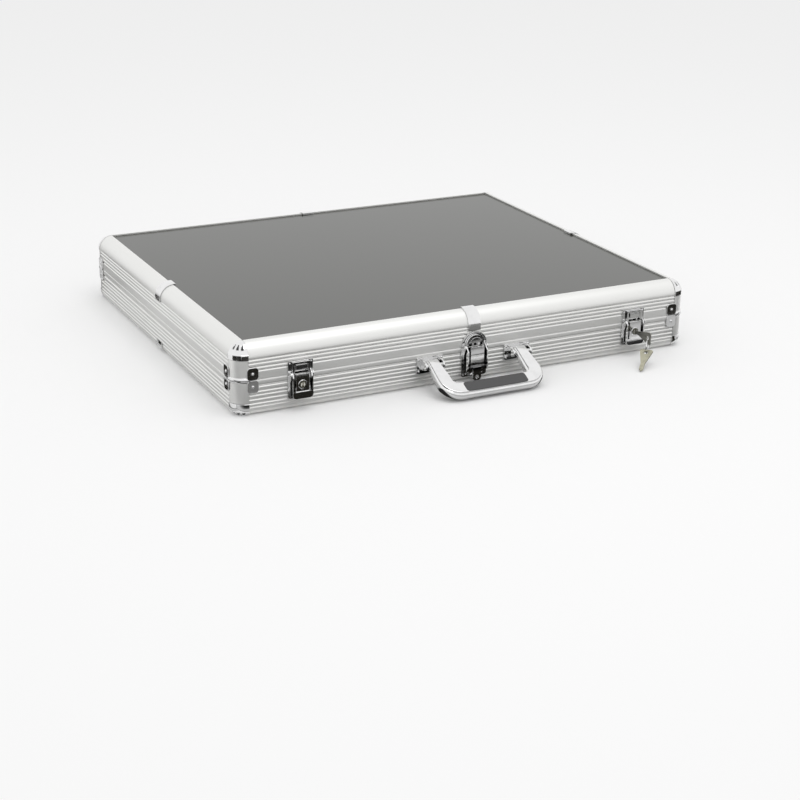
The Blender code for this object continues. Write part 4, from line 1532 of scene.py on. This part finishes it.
@dataclass
class KeyLatch(Latch):
    """Draw latch with a lock in its lever."""

    keeper_rivets: tuple[Point, ...] = ((-13.2 * MM, 56.6 * MM), (13.2 * MM, 56.6 * MM))
    lock_height: float = 32 * MM
    lock_colour: Colour = (0.22, 0.215, 0.16)
    lock_roughness: float = 0.3
    bezel: Point = (4.35 * MM, 5.4 * MM)
    bezel_span: Point = (7.4 * MM, 8.2 * MM)
    bezel_steps: int = 48

    def build_bezel(self) -> None:
        """Raised ring round the lock on the lever's face."""
        inner, outer = self.bezel
        near, far = self.bezel_span
        section = [(inner, near), (inner, far), (outer - CASE.gap, far)]
        section += [(outer, far - CASE.gap), (outer, near)]
        shape = bmesh.new()
        face = shape.faces.new([shape.verts.new(self.place(a, self.lock_height, b)) for a, b in section])
        bmesh.ops.spin(
            shape, geom=[face, *face.edges, *face.verts], cent=self.place(0.0, self.lock_height, 0.0),
            axis=(0, 1, 0), angle=2 * math.pi, steps=self.bezel_steps, use_duplicate=False, use_merge=True)
        inside = [item for item in shape.faces if len(item.verts) == len(section)]
        bmesh.ops.delete(shape, geom=inside, context="FACES_ONLY")
        name = self.kind.name
        Part(f"{name}_lever", "chrome").take(new_object(f"latch_{name}_bezel", shape, CHROME))

    def build(self) -> None:
        """Add the lock, its bezel and the keeper's rivets."""
        super().build()
        name = self.kind.name
        middle = (self.kind.value, self.lock_height)
        finish = LockFace(f"lock_nickel_{name}", self.lock_colour, self.lock_roughness, 1.0, middle=middle)
        refined(f"latch_{name}_lock_cylinder", finish, Part(f"{name}_lock", "nickel"), self.edge)
        self.build_bezel()
        self.rivets("lid", self.keeper_rivets)


@dataclass
class ArchedLatch(Latch):
    """Centre latch with a round keeper and a padlock tongue."""

    keeper_rivets: tuple[Point, ...] = ((-14.2 * MM, 47.5 * MM), (14.2 * MM, 47.5 * MM))
    plate_rivets: tuple[Point, ...] = ((-10.5 * MM, 9.2 * MM), (10.5 * MM, 9.2 * MM))
    rim_middle: float = 45 * MM
    rim_outer: Point = (15.9 * MM, 16 * MM)
    rim_inner: Point = (14.4 * MM, 14.5 * MM)
    rim_start: float = 20.0
    rim_steps: int = 40
    rim_rise: float = 0.7 * MM

    def build_rim(self) -> None:
        """Raised moulding round the keeper's arch."""
        middle = (0.0, self.rim_middle)
        end = 180.0 - self.rim_start
        outline = arc(middle, self.rim_outer, self.rim_start, end, self.rim_steps)
        outline += arc(middle, self.rim_inner, end, self.rim_start, self.rim_steps)
        shape = soften(prism(outline, self.place, self.standoff, self.standoff + self.rim_rise), self.edge)
        Part("lid", "chrome").take(new_object("latch_centre_keeper_rim", shape, CHROME))

    def build(self) -> None:
        """Add the moulding and the rivets."""
        super().build()
        self.build_rim()
        self.rivets("lid", self.keeper_rivets)
        self.rivets("base", self.plate_rivets)


@dataclass
class Keys:
    """Key in the lock, its ring and the spare key."""

    edge: float = 0.25 * MM

    def build(self) -> None:
        """Round the keys' edges."""
        # The key in the lock takes the darker nickel, painted shade.
        refined("key", SHADED_KEY_NICKEL, Part("key", "nickel"), self.edge)
        refined("key_ring", CHROME, Part("key_ring", "chrome"), 0.0)
        refined("spare_key", NICKEL, Part("spare_key", "nickel"), self.edge)


# Greys that the case's sides reflect, as (metres from the case, grey): front and back, then left and right.
LONG_BANDS = (
    (0.0, 0.12), (0.006, 0.64), (0.019, 0.60), (0.024, 0.03), (0.056, 0.03), (0.058, 0.81), (0.065, 0.81),
    (0.069, 0.53), (0.112, 0.56), (0.118, 0.02), (0.165, 0.02), (0.177, 0.60), (0.45, 0.67), (1.0, 0.86),
    (1.4, 0.95))
SHORT_BANDS = (
    (0.0, 0.20), (0.006, 0.88), (0.010, 0.88), (0.013, 0.04), (0.017, 0.04), (0.021, 0.88), (0.045, 0.92),
    (0.048, 0.04), (0.061, 0.04), (0.064, 0.92), (0.072, 0.92), (0.074, 0.05), (0.081, 0.05), (0.085, 0.95),
    (0.4, 0.97), (1.0, 1.0), (1.4, 1.0))


@dataclass(frozen=True)
class FaceCard:
    """Card that a piece on a side reflects.

    It holds the piece's span, heights and standoff in millimetres, and its top's lean in degrees.
    """

    name: str
    across: Point
    heights: Point
    standoff: float
    finish: Finish
    side: Side = Side.front
    lean: float = 0.0


@dataclass(frozen=True)
class CollarCard:
    """Card that a corner cap's collar reflects: the corner, and the collar's span in degrees."""

    corner: Corner
    turn: Point
    finish: Finish


FACE_CARDS = (
    FaceCard("left_lever", (-240, -209), (13, 43.5), 8, DARK_CARD),
    FaceCard("centre_plate", (-18, 18), (2, 22), 3, DARK_CARD),
    FaceCard("centre_hook", (-8, 8), (45.5, 53.5), 3, GREY_CARD),
    FaceCard("left_tab", (-291, -275), (28, 43), 1.4, GREY_CARD),
    FaceCard("right_keeper", (209, 241), (44, 59), 2, LIGHT_CARD),
    FaceCard("right_cap", (288, 306), (3, 15), 0.6, DARK_CARD),
    FaceCard("left_upper_tab", (-291, -275), (43, 58.5), 1.4, DARK_CARD),
    FaceCard("right_upper_tab", (275, 291), (43, 58.5), 1.4, DARK_CARD),
    FaceCard("front_strap", (-8.5, 8.5), (62, 70.6), 1.1, GREY_CARD, lean=8.5),
    FaceCard("side_upper_tab", (-240, -224), (43, 58.5), 1.4, DARK_CARD, Side.left),
    FaceCard("side_lower_tab", (-240, -224), (28, 41), 1.4, DARK_CARD, Side.left),
    FaceCard("side_back_tab", (224, 240), (43, 58.5), 1.4, PALE_CARD, Side.left),
    FaceCard("side_strap", (-8.5, 8.5), (65.5, 72), 1.1, DARK_CARD, Side.left, lean=13.0),
    FaceCard("side_foot_strap", (-8.5, 2), (9.5, 14.5), 1.1, DARK_CARD, Side.left))
COLLAR_CARDS = (
    CollarCard(Corner.front_left, (-88.0, -114.0), DARK_CARD),
    CollarCard(Corner.front_left, (-121.0, -150.0), DARK_CARD),
    CollarCard(Corner.front_right, (-88.0, -52.0), DARK_CARD))


@dataclass
class Studio:
    """Camera, pale floor, soft lamp, white surroundings and cards for the bright metal to reflect."""

    eye: Spot = (-0.96008, -1.96031, 0.72638)
    azimuth: float = math.radians(-26.823)
    elevation: float = math.radians(21.074)
    roll: float = math.radians(0.770)
    lens: float = 78.28
    sensor: float = 36.0
    floor_half: float = 15.0
    floor_drop: float = 0.2 * MM
    world_light: float = 0.88
    card_height: float = 1 * MM
    card_clear: float = 2 * MM
    small_card_height: float = 2 * MM
    lamp_place: Spot = (0.1, -0.6, 2.1)
    lamp_size: float = 1.2
    lamp_watts: float = 6.5
    collar_span: Point = (66.5 * MM, 74 * MM)
    collar_steps: int = 12

    def camera(self) -> None:
        """Add the camera."""
        level = math.cos(self.elevation)
        back = Vector((
            math.sin(self.azimuth) * level, -math.cos(self.azimuth) * level, math.sin(self.elevation)))
        right = (-back).cross(Vector((0, 0, 1))).normalized()
        up = right.cross(-back)
        across = math.cos(self.roll) * right + math.sin(self.roll) * up
        upright = math.cos(self.roll) * up - math.sin(self.roll) * right
        data = bpy.data.cameras.new("camera")
        data.sensor_width = self.sensor
        data.lens = self.lens
        made = bpy.data.objects.new("camera", data)
        turn = Matrix((across, upright, back)).transposed().to_4x4()
        made.matrix_world = Matrix.Translation(self.eye) @ turn
        bpy.context.scene.collection.objects.link(made)
        bpy.context.scene.camera = made

    def seen(self, nodes: Nodes) -> Socket:
        """Tell the rays that show the surroundings: camera, glossy and transmission rays.

        Args:
            nodes: the world's tree.

        Returns:
            1 for those rays and 0 for others.
        """
        path = nodes.add("ShaderNodeLightPath")
        shown = path.out("Is Camera Ray") + path.out("Is Glossy Ray") + path.out("Is Transmission Ray")
        return nodes.ramp(shown, 0.0, 1.0)

    def world(self) -> None:
        """White to the eye and in reflections, and dimmer as a light."""
        made = bpy.data.worlds.new("surroundings")
        made.use_nodes = True
        bpy.context.scene.world = made
        nodes = Nodes(made.node_tree)
        strength = self.seen(nodes) * (1.0 - self.world_light) + self.world_light
        background = made.node_tree.nodes["Background"]
        background.inputs["Color"].default_value = (1.0, 1.0, 1.0, 1.0)
        made.node_tree.links.new(strength.output, background.inputs["Strength"])

    def floor(self) -> None:
        """Pale floor that takes the case's shadow."""
        half = self.floor_half
        plane = self.flat("floor", rectangle(-half, -half, half, half), -self.floor_drop, FLOOR)

    def card(self, side: Side) -> None:
        """Lay a card beside the case that only reflections show.

        Args:
            side: side of the case that it lies at.
        """
        axis, sign = side.value
        bands = LONG_BANDS if axis is Axis.X else SHORT_BANDS
        finish = GradedCard(
            f"card_{side.name}", MID_GREY, CARD_ROUGHNESS, specular=0.0, side=side, bands=bands)
        deep, wide = CASE.depth / 2 + self.card_clear, CASE.width / 2 + self.card_clear
        if axis is Axis.X:
            corners = rectangle(-wide - finish.reach, deep, wide + finish.reach, deep + finish.reach)
        else:
            corners = [(x, y) for y, x in rectangle(-deep, wide, deep, wide + finish.reach)]
        if sign < 0:
            corners = [(x, -y) if axis is Axis.X else (-x, y) for x, y in corners]
        self.lay(finish.name, corners, self.card_height, finish)

    def mirrored(self, point: Sequence[float], normal: Sequence[float], height: float) -> Point:
        """Find what a polished spot reflects to the camera.

        Args:
            point: the spot.
            normal: the direction that it faces.
            height: level at which the reflected ray ends.

        Returns:
            The place as (x, y).
        """
        bounced = (Vector(point) - Vector(self.eye)).reflect(Vector(normal))
        spot = Vector(point) + bounced * ((height - point[2]) / bounced.z)
        return spot.x, spot.y

    def face_card(self, card: FaceCard) -> None:
        """Lay the card that a piece on a side reflects.

        Args:
            card: the piece and the card's finish.
        """
        (left, right), (foot, top) = card.across, card.heights
        place = side_place(card.side)
        inward = Vector(place(1.0, 0.0, 0.0)) - Vector(place(0.0, 0.0, 0.0))
        lean = math.radians(card.lean)
        leant = Vector((0.0, 0.0, math.sin(lean))) - inward * math.cos(lean)
        corners = []
        for along, up in rectangle(left, foot, right, top):
            facing = leant if up == top else -inward
            spot = place(-card.standoff * MM, up * MM, along * MM)
            corners.append(self.mirrored(spot, facing, self.small_card_height))
        self.lay(f"card_{card.name}", corners, self.small_card_height, card.finish)

    def collar_card(self, card: CollarCard) -> None:
        """Lay the card that a corner cap's collar reflects.

        Args:
            card: the collar and the card's finish.
        """
        axis = corner_axis(card.corner)
        corners = []
        for level, (start, end) in zip(self.collar_span, (card.turn, card.turn[::-1])):
            for normal in arc((0.0, 0.0), (1.0, 1.0), start, end, self.collar_steps):
                facing = Vector((*normal, 0.0))
                spot = axis + facing * CASE.rail + Vector((0.0, 0.0, level))
                corners.append(self.mirrored(spot, facing, self.small_card_height))
        self.lay(f"card_{card.corner.name}_collar", corners, self.small_card_height, card.finish)

    @staticmethod
    def flat(name: str, corners: Sequence[Point], height: float, finish: Finish) -> bpy.types.Object:
        """Make a level sheet.

        Args:
            name: its name.
            corners: its (x, y) corners.
            height: how high it lies.
            finish: its finish.

        Returns:
            The sheet.
        """
        shape = bmesh.new()
        shape.faces.new([shape.verts.new((x, y, height)) for x, y in corners])
        return new_object(name, shape, finish)

    def lay(self, name: str, corners: Sequence[Point], height: float, finish: Finish) -> None:
        """Lay a card that only reflections show.

        Args:
            name: its name.
            corners: its (x, y) corners.
            height: how high it lies.
            finish: its greys.
        """
        made = self.flat(name, corners, height, finish)
        made.visible_camera = False
        made.visible_diffuse = False
        made.visible_shadow = False

    def lamp(self) -> None:
        """Add a soft square lamp that faces the middle of the case."""
        data = bpy.data.lights.new("overhead", "AREA")
        data.size = self.lamp_size
        data.energy = self.lamp_watts
        made = bpy.data.objects.new("overhead", data)
        made.location = self.lamp_place
        made.rotation_euler = (-Vector(self.lamp_place)).to_track_quat("-Z", "Y").to_euler()
        bpy.context.scene.collection.objects.link(made)

    def build(self) -> None:
        """Set up the studio."""
        self.camera()
        self.world()
        self.floor()
        for side in Side:
            self.card(side)
        for card in FACE_CARDS:
            self.face_card(card)
        for card in COLLAR_CARDS:
            self.collar_card(card)
        self.lamp()
        bpy.context.scene.view_settings.view_transform = "Standard"


def main() -> None:
    """Build the studio and the case."""
    logging.basicConfig(level=logging.INFO, format="%(name)s: %(message)s")
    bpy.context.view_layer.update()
    Studio().build()
    Shell().build()
    Hinges().build()
    Handle().build()
    for latch in (KeyLatch(LatchKind.left), KeyLatch(LatchKind.right), ArchedLatch(LatchKind.centre)):
        latch.build()
    Keys().build()


if __name__ == "__main__":
    main()
